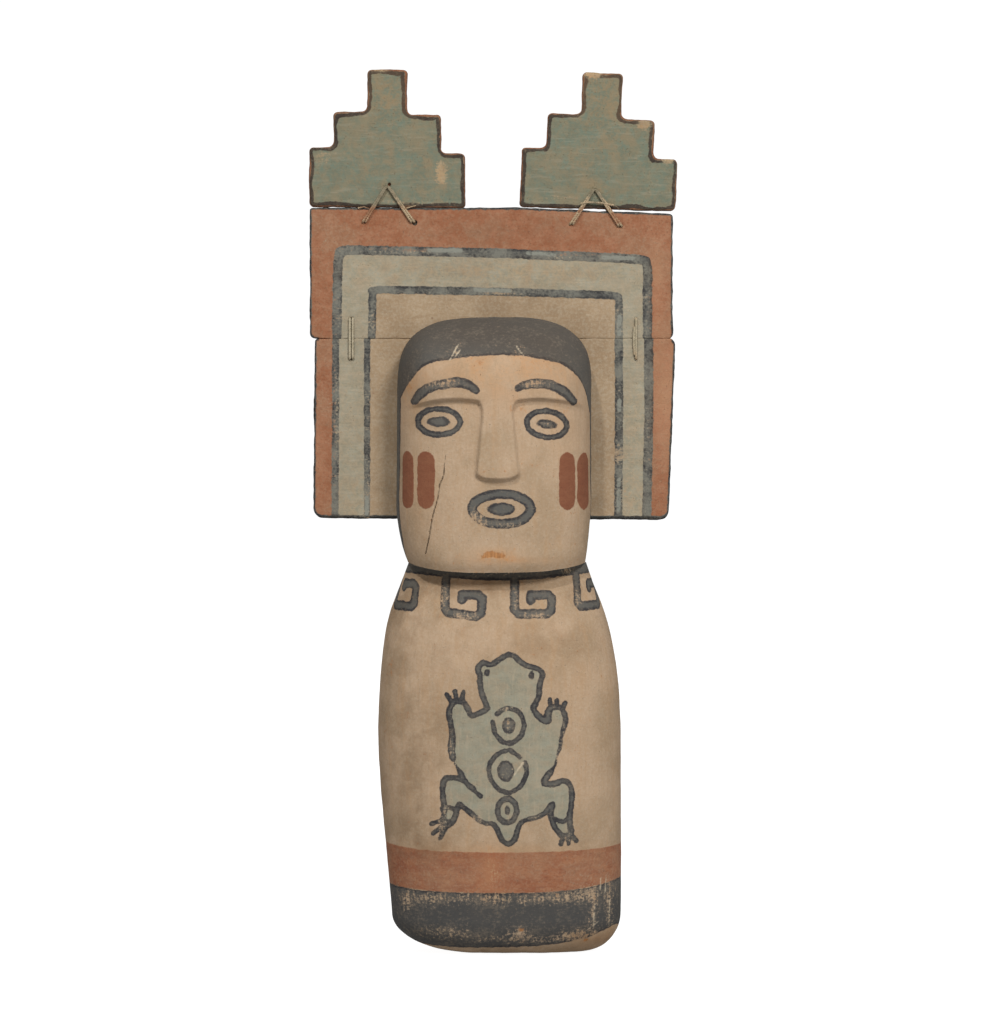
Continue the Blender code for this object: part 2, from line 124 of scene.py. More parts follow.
def through(rows, place):
    """A smooth curve through rows of numbers, read at place, which counts rows from 0."""
    last = len(rows) - 1
    start = min(int(place), last - 1)
    t = place - start
    a, b, c, d = (np.array(rows[min(max(start + k, 0), last)]) for k in (-1, 0, 1, 2))
    return 0.5 * (2 * b + (c - a) * t + (2 * a - 5 * b + 4 * c - d) * t * t + (3 * b - a - 3 * c + d) * t**3)


def smooth_step(value):
    value = np.clip(value, 0.0, 1.0)
    return value * value * (3.0 - 2.0 * value)


class Ring:
    """One level of the figure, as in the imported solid."""

    def __init__(self, height, left, right, front, back, shift=0.0, power=BODY_POWER, dip=0.0, seat=None):
        self.height, self.left, self.right = height, left, right
        self.front, self.back, self.shift = front, back, shift
        self.power, self.dip, self.seat = power, dip, seat

    def outline(self, angles):
        across, ahead = np.sin(angles), np.cos(angles)
        x = np.copysign(np.abs(across) ** (2 / self.power), across)
        y = -np.copysign(np.abs(ahead) ** (2 / self.power), ahead)
        width = np.where(across > 0, self.right, self.left)
        depth = np.where(ahead > 0, self.front, self.back)
        low = np.where(ahead > 0, self.dip * (1 - np.abs(x) ** 3), 0.0)
        return np.column_stack([self.shift + x * width, y * depth, self.height - low])


def body_rings():
    half = BODY_WIDTH / 2
    _, left, right, front, back = BODY_SHAPE[0]
    rings = []
    base_rings = 26
    for k in range(base_rings):
        turn = math.pi / 2 * k / base_rings
        narrower = 1 - math.sin(turn)
        inset = BASE_ROUNDING * narrower
        left_inset = BASE_ROUNDING_LEFT * narrower
        height = BASE_ROUNDING_HEIGHT * (1 - math.cos(turn))
        front_reach, back_reach = front * BODY_FRONT - inset, back * BODY_BACK - inset
        rings.append(Ring(height, left * half - left_inset, right * half - inset, front_reach, back_reach))
    lowest = BODY_SHAPE[0][0]
    for share in np.linspace(lowest, 1.0, round((1 - lowest) * BODY_HEIGHT / BODY_PITCH)):
        _, left, right, front, back = at_share(BODY_SHAPE, share)
        rise = (share - BODY_SHAPE[0][0]) / (1 - BODY_SHAPE[0][0])
        height = BASE_ROUNDING_HEIGHT + (BODY_HEIGHT - BASE_ROUNDING_HEIGHT) * rise
        dip = CHIN_DIP * smooth_step((share - 0.88) / 0.12)
        rings.append(Ring(height, left * half, right * half, front * BODY_FRONT, back * BODY_BACK, dip=dip))
    return rings


def head_ring(share):
    row = at_share(HEAD_SHAPE, share)
    half = HEAD_WIDTH / 2
    rise = max(0.0, (share - CROWN_START) / (1 - CROWN_START))
    across = (1 - rise**CROWN_POWER) ** (1 / CROWN_POWER)
    ahead = (1 - rise**CROWN_FRONT_POWER) ** (1 / CROWN_FRONT_POWER)
    behind = 1 - (1 - SEAT_BACK / HEAD_BACK) * rise**4
    ledge = LEDGE_ABOVE_NECK / HEAD_HEIGHT
    return Ring(
        BODY_HEIGHT + share * HEAD_HEIGHT,
        row[1] * half * across,
        row[2] * half * across,
        row[3] * HEAD_FRONT * ahead,
        row[4] * HEAD_BACK * behind,
        shift=HEAD_SHIFT,
        power=HEAD_POWER,
        dip=CHIN_DIP * (1 - smooth_step(share / 0.22)),
        seat=SEAT_BACK if share > ledge else None,
    )


def head_rings():
    steps = round(CROWN_START * HEAD_HEIGHT / HEAD_PITCH)
    shares = [0.0, 0.0012, 0.0030] + [CROWN_START * k / steps for k in range(1, steps + 1)]
    for k in range(1, CROWN_RINGS + 1):
        shares.append(CROWN_START + (1 - CROWN_START) * math.sin(math.pi / 2 * k / (CROWN_RINGS + 0.8)))
    return [head_ring(share) for share in shares]


def brow_relief(x, above):
    """How far the forehead stands proud of the cheeks."""
    off = (np.abs(x) - BROW_ARCH_CENTRE) / BROW_ARCH_CENTRE
    line = BROW_ABOVE_NECK - BROW_ARCH * off * off
    over = smooth_step((above - line) / BROW_EDGE + 0.5)
    fade_up = 1 - smooth_step((above - BROW_ABOVE_NECK) / (HEAD_HEIGHT - BROW_ABOVE_NECK))
    fade_out = 1 - smooth_step((np.abs(x) / HEAD_WIDTH * 2 - 0.70) / 0.28)
    return BROW_RELIEF * over * fade_up * fade_out


def nose_relief(x, above):
    """A wedge that grows from the brow to its foot, with sloping sides and soft corners."""
    down = (BROW_ABOVE_NECK - above) / NOSE_LENGTH
    t = np.clip(down, 0.0, 1.0)
    half = NOSE_TOP_HALF + (NOSE_FOOT_HALF - NOSE_TOP_HALF) * t
    half = half + NOSE_ROOT_FLARE * np.exp(-((np.maximum(down, -0.1) + 0.1) / 0.13) ** 2)
    proud = BROW_RELIEF + (NOSE_FOOT_RELIEF - BROW_RELIEF) * t**1.15
    sides = 1 - smooth_step((np.abs(x) - half) / NOSE_SLOPE)
    crown = 1 - 0.08 * (np.abs(x) / half) ** 2
    corner = NOSE_FOOT_SMILE * np.minimum(np.abs(x) / half, 1.2) ** 3
    foot = smooth_step((above - (BROW_ABOVE_NECK - NOSE_LENGTH) - corner) / NOSE_FOOT_EDGE + 0.6)
    start = smooth_step((down + 0.16) / 0.2)
    return proud * sides * np.maximum(crown, 0.5) * foot * start


def evenly(points, count):
    """Points along an open line, the last left out, how far along each lies, and the line's length."""
    steps = np.linalg.norm(np.diff(points, axis=0), axis=1)
    along = np.concatenate([[0.0], np.cumsum(steps)])
    wanted = along[-1] * np.arange(count) / count
    return np.column_stack([np.interp(wanted, along, points[:, k]) for k in range(3)]), wanted, along[-1]


def figure_points():
    """All rings' points, how far round each lies from the front, in metres, positive to the right, and which
    rings are the head's."""
    turn = np.linspace(-math.pi / 2, math.pi / 2, 241)
    points, around, heads = [], [], []
    for ring in body_rings() + head_rings():
        front, front_along, front_length = evenly(ring.outline(turn), FRONT_COLUMNS)
        back, back_along, back_length = evenly(ring.outline(turn + math.pi), BACK_COLUMNS)
        row = np.vstack([front, back])
        if ring.seat is not None:
            row[:, 1] = np.minimum(row[:, 1], ring.seat)
        if ring.shift:
            on_front = row[:, 1] < 0
            x, above = row[:, 0] - FACE_MIDDLE, row[:, 2] - BODY_HEIGHT
            brow, nose = brow_relief(x, above), nose_relief(x, above)
            row[:, 1] -= np.where(on_front, np.maximum(brow, nose), 0.0)
        middle = np.interp(0.0, front[:, 0] - ring.shift, front_along)
        away = np.concatenate([front_along - middle, front_length - middle + back_along])
        total = front_length + back_length
        away = np.where(away > total / 2, away - total, away)
        points.append(row)
        around.append(away)
        heads.append(np.full(len(row), ring.shift != 0))
    return np.array(points), np.array(around), np.array(heads)


def mesh_from(name, points, faces):
    mesh = bpy.data.meshes.new(name)
    mesh.from_pydata([tuple(p) for p in points], [], faces)
    mesh.update()
    made = bpy.data.objects.new(name, mesh)
    bpy.context.scene.collection.objects.link(made)
    mesh.polygons.foreach_set("use_smooth", np.ones(len(mesh.polygons), bool))
    return made


def coordinates(piece):
    flat = np.zeros(len(piece.data.vertices) * 3)
    piece.data.vertices.foreach_get("co", flat)
    return flat.reshape(-1, 3)


def hand_carve(piece, waves):
    """Rubs the surface down by smooth, uneven amounts, so that it never leaves the solid. waves are
    (size, depth) pairs in millimetres."""
    mesh = piece.data
    points = coordinates(piece)
    normals = np.zeros(len(points) * 3)
    mesh.vertices.foreach_get("normal", normals)
    normals = normals.reshape(-1, 3)
    down = np.zeros(len(points))
    for n, (size, depth) in enumerate(waves):
        offset = Vector((7.3 * n, 2.1, 5.7))
        scale = 1 / (size * MM)
        values = np.array([noise.noise(Vector(p) * scale + offset) for p in points.tolist()])
        down += depth * MM * (0.5 + 0.5 * np.clip(values * 1.6, -1, 1))
    points -= normals * down[:, None]
    mesh.vertices.foreach_set("co", points.ravel())
    mesh.update()


# Painted shapes. Each is a distance inside the shape, negative outside, in millimetres.


def as_line(points, closed=False, steps=4):
    """A smooth curve through given points."""
    rows = np.array(points, float)
    if closed:
        rows = np.vstack([rows[-1], rows, rows[0], rows[1]])
        places = np.arange(1, len(rows) - 2 + 1e-6, 1 / steps)
    else:
        places = np.arange(0, len(rows) - 1 + 1e-6, 1 / steps)
    return np.array([through(rows, place) for place in places])


def stroke(where, line, width):
    """A brush stroke along a line. Rows of the line may carry their own width after x and z."""
    line = np.array(line, float)
    found = np.full(len(where), -FAR)
    near = np.all((where > line[:, :2].min(0) - FAR) & (where < line[:, :2].max(0) + FAR), axis=1)
    spots = where[near]
    best = np.full(len(spots), -FAR)
    for a, b in zip(line, line[1:]):
        run = b[:2] - a[:2]
        t = np.clip((spots - a[:2]) @ run / max(run @ run, 1e-9), 0, 1)
        wide = width if line.shape[1] == 2 else width * (a[2] + (b[2] - a[2]) * t)
        away = np.linalg.norm(spots - a[:2] - t[:, None] * run, axis=1)
        best = np.maximum(best, wide / 2 - away)
    found[near] = best
    return found


def area(where, outline):
    """A filled shape within a closed outline."""
    outline = np.array(outline, float)
    ends = np.roll(outline, -1, axis=0)
    inside = np.zeros(len(where), bool)
    away = np.full(len(where), FAR)
    x, z = where[:, 0], where[:, 1]
    for a, b in zip(outline, ends):
        run = b - a
        if abs(run[1]) > 1e-9:
            crosses = (a[1] > z) != (b[1] > z)
            inside ^= crosses & (x < a[0] + run[0] * (z - a[1]) / run[1])
        t = np.clip((where - a) @ run / max(run @ run, 1e-9), 0, 1)
        away = np.minimum(away, np.linalg.norm(where - a - t[:, None] * run, axis=1))
    return np.where(inside, away, -away)


def ellipse(where, centre, radii, tilt=0.0):
    dx, dz = (where - np.array(centre)).T
    turned_x = dx * math.cos(tilt) + dz * math.sin(tilt)
    turned_z = dz * math.cos(tilt) - dx * math.sin(tilt)
    reach = np.hypot(turned_x / radii[0], turned_z / radii[1])
    return np.clip((1 - reach) * min(radii), -FAR, FAR)


def oval_ring(where, centre, radii, width, tilt=0.0):
    turns = np.linspace(0, 2 * math.pi, 33)
    x, z = radii[0] * np.cos(turns), radii[1] * np.sin(turns)
    turned_x = centre[0] + x * math.cos(tilt) - z * math.sin(tilt)
    turned_z = centre[1] + x * math.sin(tilt) + z * math.cos(tilt)
    return stroke(where, np.column_stack([turned_x, turned_z]), width)


def union(*shapes):
    return np.maximum.reduce(shapes)


LAYERS = ("black", "green", "red", "wood", "pale", "crack", "fade", "grime", "deep", "warm")
SHARES = ("fade", "grime", "deep", "warm")  # these run from 0 to 1, the others are distances


def store(piece, name, values):
    """Keeps one number for each vertex, for the finishes to read."""
    layer = piece.data.attributes.new(name, "FLOAT", "POINT")
    layer.data.foreach_set("value", np.asarray(values, np.float32))


def lay_paint(piece, **layers):
    """Stores each layer on the mesh. A layer that isn't given lies far outside everywhere."""
    for name in LAYERS:
        empty = np.full(len(piece.data.vertices), 0.0 if name in SHARES else -FAR)
        store(piece, name, layers.get(name, empty))


def soft_spots(where, spots):
    """A sum of soft round spots, each (x, z, radius x, radius z, strength)."""
    total = np.zeros(len(where))
    for x, z, wide, high, strength in spots:
        reach = ((where[:, 0] - x) / wide) ** 2 + ((where[:, 1] - z) / high) ** 2
        total += strength * np.exp(-reach)
    return total


# Ornament of the face, from its middle line and the neck
BROW_LINE_MM = 3.3
EYE_LINE_MM = 2.0
MOUTH_LINE_MM = 3.3
FRET_LINE_MM = 3.2
HAIRLINE = (
    (-34.0, 51.0), (-32.2, 55.6), (-30.4, 59.0), (-28.1, 62.2), (-25.5, 65.2), (-21.3, 67.3),
    (-13.4, 68.6), (-5.5, 69.4), (5.0, 69.7), (12.9, 68.6), (20.8, 66.8), (26.1, 63.1), (29.2, 57.8),
    (30.9, 50.0), (33.5, 38.0),
)
LEFT_BROW = (
    (-27.6, 54.4, 0.8), (-25.5, 57.0, 1.0), (-22.9, 58.8, 1.0), (-18.7, 60.0, 1.0), (-13.4, 60.7, 1.05),
    (-9.7, 59.8, 1.0), (-7.1, 58.0, 0.8),
)
RIGHT_BROW = (
    (6.6, 58.8, 0.7), (9.2, 59.8, 0.9), (12.4, 60.3, 1.0), (16.6, 60.0, 1.0), (20.2, 58.7, 1.0),
    (23.2, 56.7, 0.95), (25.2, 54.3, 0.8),
)
EYES = (((-19.5, 47.6), (7.05, 4.3), (4.0, 1.7), 0.0), ((16.3, 46.8), (6.7, 4.3), (3.4, 1.5), -0.14))
MOUTH, MOUTH_RADII, MOUTH_INNER_RADII = (1.3, 18.7), (9.7, 5.0), (4.8, 2.2)
# Each cheek bar: how far round from the front, how far above the neck, and its width
CHEEK_BARS = ((-32.4, 28.1, 7.0), (-23.7, 28.2, 7.0), (25.6, 27.8, 6.9), (34.4, 27.6, 8.6))
CHEEK_BAR_HALF_MM = 9.6
SIDE_HAIR_DEPTHS_MM = (-11.0, -7.0)  # left and right
CROWN_HAIR_MM = 71.5
FRONT_DEPTH_MM = -2.0  # the front's ornament ends here
CRACK_REACH_MM = 0.9  # wider than the crack, which the finish narrows
CRACK = (
    (-17.4, 36.4), (-17.9, 30.0), (-19.3, 26.4), (-19.8, 22.4), (-21.6, 16.0), (-22.7, 9.5), (-24.0, 3.4),
)
HAIR_SCRATCHES = (
    ((-15.9, 67.9), (-13.0, 73.4)), ((-14.2, 69.0), (-12.0, 72.0)), ((9.0, 69.0), (6.3, 72.6)),
)
NECK_SCRATCHES = (
    ((20.4, -1.2), (21.8, -3.6)), ((21.8, -1.0), (23.2, -3.2)), ((23.4, -0.8), (24.6, -2.6)),
    ((-4.0, -4.0), (-2.6, -3.4)), ((1.0, -4.2), (2.2, -3.6)), ((6.0, -4.4), (7.4, -3.8)),
    ((-9.0, -3.4), (-7.8, -4.2)),
)
FOOT_SCRATCHES = (
    ((36.8, 18.5), (36.5, 10.0)), ((31.7, 17.4), (31.3, 9.4)), ((35.6, 27.0), (35.2, 20.6)),
    ((33.8, 26.0), (33.5, 22.0)), ((29.0, 8.6), (34.5, 12.4)),
)

# Frets below the neck, from each one's stem, and where the stems stand round the body
FRETS = (
    (-41.8, (
        (0.8, -3.5), (0.9, -12.9), (2.2, -14.1), (10.6, -14.4), (11.8, -13.2), (12.2, -8.0), (11.0, -6.9),
        (6.2, -6.8), (6.0, -8.0),
    )),
    (-18.7, (
        (0.4, -3.5), (0.1, -14.8), (1.2, -16.0), (10.6, -17.2), (12.4, -16.2), (12.8, -11.6), (11.6, -10.3),
        (6.0, -10.2), (5.8, -11.8),
    )),
    (4.9, (
        (0.0, -3.5), (0.0, -15.0), (1.2, -16.4), (11.0, -16.4), (12.4, -15.4), (12.6, -11.4), (11.4, -10.3),
        (5.4, -10.2), (5.3, -11.9),
    )),
    (26.9, (
        (0.0, -3.5), (0.2, -12.8), (1.4, -14.2), (10.6, -13.8), (11.8, -12.6), (12.0, -8.0), (10.8, -6.9),
        (6.0, -6.8), (6.0, -8.2),
    )),
)

# The frog, from its navel
FROG_AT = (2.4, 69.7)
FROG_SQUEEZE = 0.979
FROG_LINE_MM = 2.0
FROG_OUTLINE = (
    (-18.7, 14.8), (-17.2, 16.6), (-14.5, 16.2), (-13.2, 14.3), (-11.9, 11.9), (-9.2, 12.7), (-6.6, 14.3),
    (-8.2, 18.5), (-9.0, 22.2), (-9.0, 25.4), (-9.8, 27.0), (-9.2, 28.8), (-7.7, 29.6), (-5.5, 29.1),
    (-3.4, 30.1), (-1.3, 31.7), (0.8, 32.4), (2.9, 31.5), (5.0, 29.6), (6.6, 28.6), (9.2, 28.0),
    (11.3, 26.7), (11.6, 24.6), (10.8, 22.2), (10.6, 19.0), (9.5, 15.9), (8.7, 14.3), (9.8, 12.2),
    (11.9, 10.3), (13.5, 10.1), (13.5, 12.7), (14.5, 14.3), (16.6, 14.5), (18.2, 13.8), (19.3, 11.1),
    (19.3, 8.5), (18.5, 6.3), (17.9, 3.7), (17.7, 1.1), (16.6, -2.1), (16.1, -4.8), (14.5, -7.4),
    (12.9, -9.5), (12.4, -11.3), (15.6, -11.6), (18.2, -10.6), (20.3, -11.4), (21.4, -13.8),
    (21.4, -18.0), (20.9, -22.2), (20.9, -25.9), (21.4, -28.7), (18.8, -29.7), (16.6, -27.5),
    (15.1, -24.9), (14.5, -21.7), (15.1, -18.5), (12.9, -21.2), (10.3, -22.8), (7.1, -23.6), (4.5, -24.9),
    (3.4, -27.5), (2.4, -30.7), (0.3, -32.0), (-1.8, -30.7), (-2.9, -28.1), (-4.5, -25.4), (-7.1, -24.9),
    (-9.8, -23.6), (-12.4, -21.2), (-14.5, -19.6), (-16.1, -18.5), (-16.9, -21.2), (-17.7, -23.8),
    (-19.8, -25.9), (-21.1, -24.4), (-20.9, -20.1), (-21.4, -15.9), (-21.4, -11.6), (-20.3, -9.8),
    (-17.7, -9.5), (-14.7, -9.6), (-17.7, -4.2), (-18.5, 0.0), (-18.2, 4.2), (-18.7, 8.5), (-19.3, 12.2),
)
# Where the outline is drawn thin, thick or not at all: (x, z, radius, share of the line's width)
FROG_LINE_CHANGES = (
    (17.4, 0.5, 6.5, 0.55), (16.2, -4.5, 3.5, 0.7), (-17.2, -5.0, 1.3, 0.0), (14.5, -9.8, 3.0, 1.25),
    (13.0, 12.0, 4.0, 1.2), (8.0, -23.8, 5.0, 0.85), (-8.0, -24.2, 4.0, 0.85), (-19.2, 1.0, 5.0, 1.25),
)
FROG_STROKES = (
    ((-15.5, -8.2), (-13.0, -11.8), (-8.9, -15.7)),
    ((-20.0, -9.6), (-15.5, -10.0), (-11.0, -13.2)),
    ((-18.2, 15.9), (-20.1, 18.8)),
    ((-16.9, 16.9), (-17.3, 19.8)),
    ((-15.3, 16.9), (-14.5, 19.8)),
    ((14.5, 14.8), (14.2, 17.2)),
    ((16.6, 14.8), (16.4, 16.9)),
    ((18.5, 13.8), (19.3, 15.9)),
    ((-19.8, -24.4), (-22.4, -24.4), (-25.1, -25.4)),
    ((-20.3, -25.4), (-22.4, -27.0), (-24.6, -28.6)),
    ((-19.8, -25.9), (-21.4, -28.1), (-22.2, -30.2)),
    ((-21.6, -20.2), (-19.2, -19.6), (-16.6, -20.6)),
    ((18.8, -29.9), (18.0, -32.2)),
    ((20.2, -29.7), (20.5, -32.2)),
    ((21.6, -29.3), (23.0, -31.4)),
    ((15.8, -23.6), (18.4, -24.6), (20.6, -23.4)),
    ((-3.4, 12.2), (-1.8, 13.6), (0.3, 14.2), (2.9, 13.6), (4.5, 12.2), (5.5, 9.5), (5.3, 6.3), (3.4, 3.6),
     (0.8, 2.4), (-1.8, 3.1), (-4.0, 5.8), (-4.9, 9.5)),
    ((-0.3, -0.3), (-2.9, -1.1), (-5.3, -3.7), (-6.1, -6.9), (-5.0, -10.6), (-2.4, -13.6), (0.8, -14.6)),
    ((2.1, -13.8), (4.5, -12.2), (6.1, -9.0), (6.5, -6.4), (5.8, -4.2)),
    ((0.8, 0.0), (2.6, -1.1), (4.2, -2.6)),
)
FROG_SPOTS = (
    ((-6.7, 26.3), (0.9, 1.3)), ((8.0, 25.5), (0.9, 1.4)), ((0.5, 8.4), (2.2, 2.9)),
    ((-0.5, -7.1), (2.8, 3.7)), ((0.0, -20.4), (1.0, 1.6)),
)
TAIL_RING, TAIL_RING_RADII = (0.0, -20.6), (3.1, 4.1)

FROG_SCRATCH = ((2.4, -8.4), (5.2, -4.2))

# Bands round the foot
BODY_HALF_MM = 41
BAND_TOP_MM = 35.5
BAND_FOOT_MM = 21.8
# The black's lower edge: places across, and its height at each
BLACK_FOOT_MM = (
    (-37.0, -31.0, -26.0, -19.0, -8.0, 8.0, 20.0, 30.0, 38.0),
    (5.4, 4.2, 3.3, 2.9, 2.9, 3.2, 4.2, 6.2, 9.4),
)

# Where the paint is worn, soiled or warmer, and where shade is painted in: (x, z, radius x, radius z,
# strength). Those of the face are from
# # its middle, those of the frog from its navel, and those of the frets run round the neck
FIGURE_WEAR = (
    (7.0, 9.0, 3.4, 2.0, 0.36), (31.0, 15.0, 2.0, 7.0, 0.30), (36.5, 16.0, 1.6, 9.0, 0.34),
    (-1.0, 19.8, 24.0, 2.0, 0.30), (-26.0, 19.6, 12.0, 3.0, 0.24), (24.0, 20.4, 12.0, 2.6, 0.28),
    (8.0, 6.2, 24.0, 1.8, 0.30), (-18.0, 8.5, 11.0, 2.2, 0.28), (-31.0, 17.0, 1.6, 4.0, 0.30),
    (-2.0, 28.5, 2.2, 7.0, 0.34), (30.0, 26.0, 8.0, 4.0, 0.24), (26.0, 7.0, 6.0, 2.6, 0.34),
)
FACE_WEAR = (
    (-6.4, 14.3, 3.4, 2.6, 0.40), (3.0, 13.3, 6.0, 1.4, 0.30), (-14.0, 70.5, 3.0, 3.4, 0.22),
    (8.0, 70.5, 3.5, 2.5, 0.20), (-18.0, 60.4, 8.0, 1.6, 0.42), (12.0, 60.2, 6.0, 1.6, 0.44),
    (-8.0, 17.0, 2.5, 3.0, 0.24), (16.3, 46.8, 3.0, 1.6, 0.20),
)
FROG_WEAR = (
    (4.6, -4.0, 1.2, 3.6, 0.45), (17.4, -1.0, 2.4, 6.0, 0.30), (8.0, -23.2, 6.0, 1.5, 0.26),
    (-9.0, -23.4, 6.0, 1.8, 0.26), (-1.0, 14.0, 5.0, 1.6, 0.32), (-22.5, -26.5, 3.6, 3.6, 0.24),
    (-20.5, -20.0, 2.0, 4.0, 0.26), (20.0, -30.0, 3.0, 2.5, 0.26), (0.5, 8.4, 1.8, 2.4, 0.32),
    (-0.5, -7.1, 2.2, 3.0, 0.34), (-18.8, 2.0, 1.4, 6.0, 0.28), (-5.6, -10.0, 2.0, 3.0, 0.26),
)
FRET_WEAR = (
    (-19.0, -10.0, 2.2, 5.0, 0.42), (-12.0, -17.2, 6.0, 1.6, 0.40), (12.0, -17.0, 5.0, 1.6, 0.38),
    (5.0, -12.0, 2.0, 5.0, 0.26), (27.0, -12.0, 1.8, 4.0, 0.40), (2.0, -2.6, 9.0, 1.2, 0.34),
    (23.0, -2.2, 3.0, 1.4, 0.36),
)
# Darker patches, multiplied into the paint. The two below the chin, at 123.6 and 106.0 mm up, are painted
# shade of the chin's overhang; the others darken the left side, the shoulders, the head's sides, the band's
# top edge and the foot
FIGURE_GRIME_AND_SHADE = (
    (-30.0, 80.0, 14.0, 40.0, 0.45), (-26.0, 46.0, 12.0, 16.0, 0.35), (26.0, 122.0, 6.0, 4.0, 0.6),
    (-34.0, 120.0, 8.0, 10.0, 0.5), (-6.0, 123.6, 17.0, 3.4, 0.8), (-20.0, 37.0, 20.0, 4.0, 0.35),
    (24.0, 37.0, 20.0, 4.0, 0.25), (-30.0, 200.0, 8.0, 10.0, 0.3), (20.0, 198.0, 12.0, 6.0, 0.2),
    (6.0, 106.0, 34.0, 9.0, 0.3), (33.0, 5.0, 9.0, 4.0, 0.45), (0.0, 1.6, 30.0, 1.6, 0.5),
)
FACE_WARMTH = (
    (-10.0, 77.0, 24.0, 9.0, 0.75), (18.0, 72.0, 16.0, 10.0, 0.6), (-30.0, 60.0, 5.0, 12.0, 0.6),
    (-1.5, 3.4, 6.5, 2.0, 0.95), (4.0, 1.6, 12.0, 1.2, 0.6), (-7.0, 65.0, 2.0, 2.4, 0.3),
    (0.0, 62.0, 26.0, 5.0, 0.35), (22.0, 44.0, 6.0, 9.0, 0.25), (0.0, 56.0, 8.0, 6.0, 0.25),
    (-26.0, 22.0, 5.0, 14.0, 0.22),
)
FIGURE_WARMTH = (
    (14.0, 100.0, 18.0, 14.0, 0.12), (30.0, 6.0, 8.0, 4.0, 0.5), (0.0, 36.5, 30.0, 1.6, 0.4),
    (-3.0, 28.6, 4.0, 8.0, 0.9), (14.0, 32.6, 26.0, 2.0, 0.3),
)


def hair_shape(x, y, face):
    """The fringe in front, the hair at the sides and back, and the crown."""
    hairline = np.array(as_line(HAIRLINE))
    fringe = (face[:, 1] - np.interp(face[:, 0], hairline[:, 0], hairline[:, 1])) * 0.9
    fringe = np.where(y < FRONT_DEPTH_MM, fringe, -FAR)
    side_depth = np.where(x < 0, *SIDE_HAIR_DEPTHS_MM)
    side_hair = y - side_depth - 0.05 * np.maximum(45 - face[:, 1], 0) - 0.5 * np.maximum(8 - face[:, 1], 0)
    return union(fringe, side_hair, face[:, 1] - CROWN_HAIR_MM)


def face_shape(face):
    """Brows, eyes and mouth."""
    drawn = [stroke(face, as_line(brow), BROW_LINE_MM) for brow in (LEFT_BROW, RIGHT_BROW)]
    for centre, radii, pupil, tilt in EYES:
        drawn.append(oval_ring(face, centre, radii, EYE_LINE_MM, tilt))
        drawn.append(ellipse(face, centre, pupil, tilt))
    drawn.append(oval_ring(face, MOUTH, MOUTH_RADII, MOUTH_LINE_MM))
    drawn.append(ellipse(face, MOUTH, MOUTH_INNER_RADII))
    return union(*drawn)


def cheek_bars(wound):
    bars = []
    for round_at, height, width in CHEEK_BARS:
        half = CHEEK_BAR_HALF_MM - width / 2
        bars.append(stroke(wound, [(round_at, height + half), (round_at, height - half)], width))
    return union(*bars)


def fret_shape(wound):
    """The frets and the band that they hang from."""
    frets = [stroke(wound, np.array(line) + (stem, 0), FRET_LINE_MM) for stem, line in FRETS]
    band = wound[:, 1] + 3.0 + 2.6 * np.exp(-((wound[:, 0] / 26) ** 2))
    return union(band, *frets)


def frog_shapes(frog):
    """The frog's black lines and its fill."""
    outline = as_line(FROG_OUTLINE, closed=True, steps=3)
    widths = np.ones(len(outline))
    for cx, cz, reach, share in FROG_LINE_CHANGES:
        near = np.exp(-(((outline[:, 0] - cx) ** 2 + (outline[:, 1] - cz) ** 2) / reach**2) ** 2)
        widths += (share - 1) * near
    drawn = [stroke(frog, np.column_stack([outline, np.maximum(widths, 0.0)]), FROG_LINE_MM)]
    drawn += [stroke(frog, as_line(line), FROG_LINE_MM * 0.85) for line in FROG_STROKES]
    drawn += [ellipse(frog, centre, radii) for centre, radii in FROG_SPOTS]
    drawn.append(oval_ring(frog, TAIL_RING, TAIL_RING_RADII, FROG_LINE_MM))
    return union(*drawn), area(frog, outline)


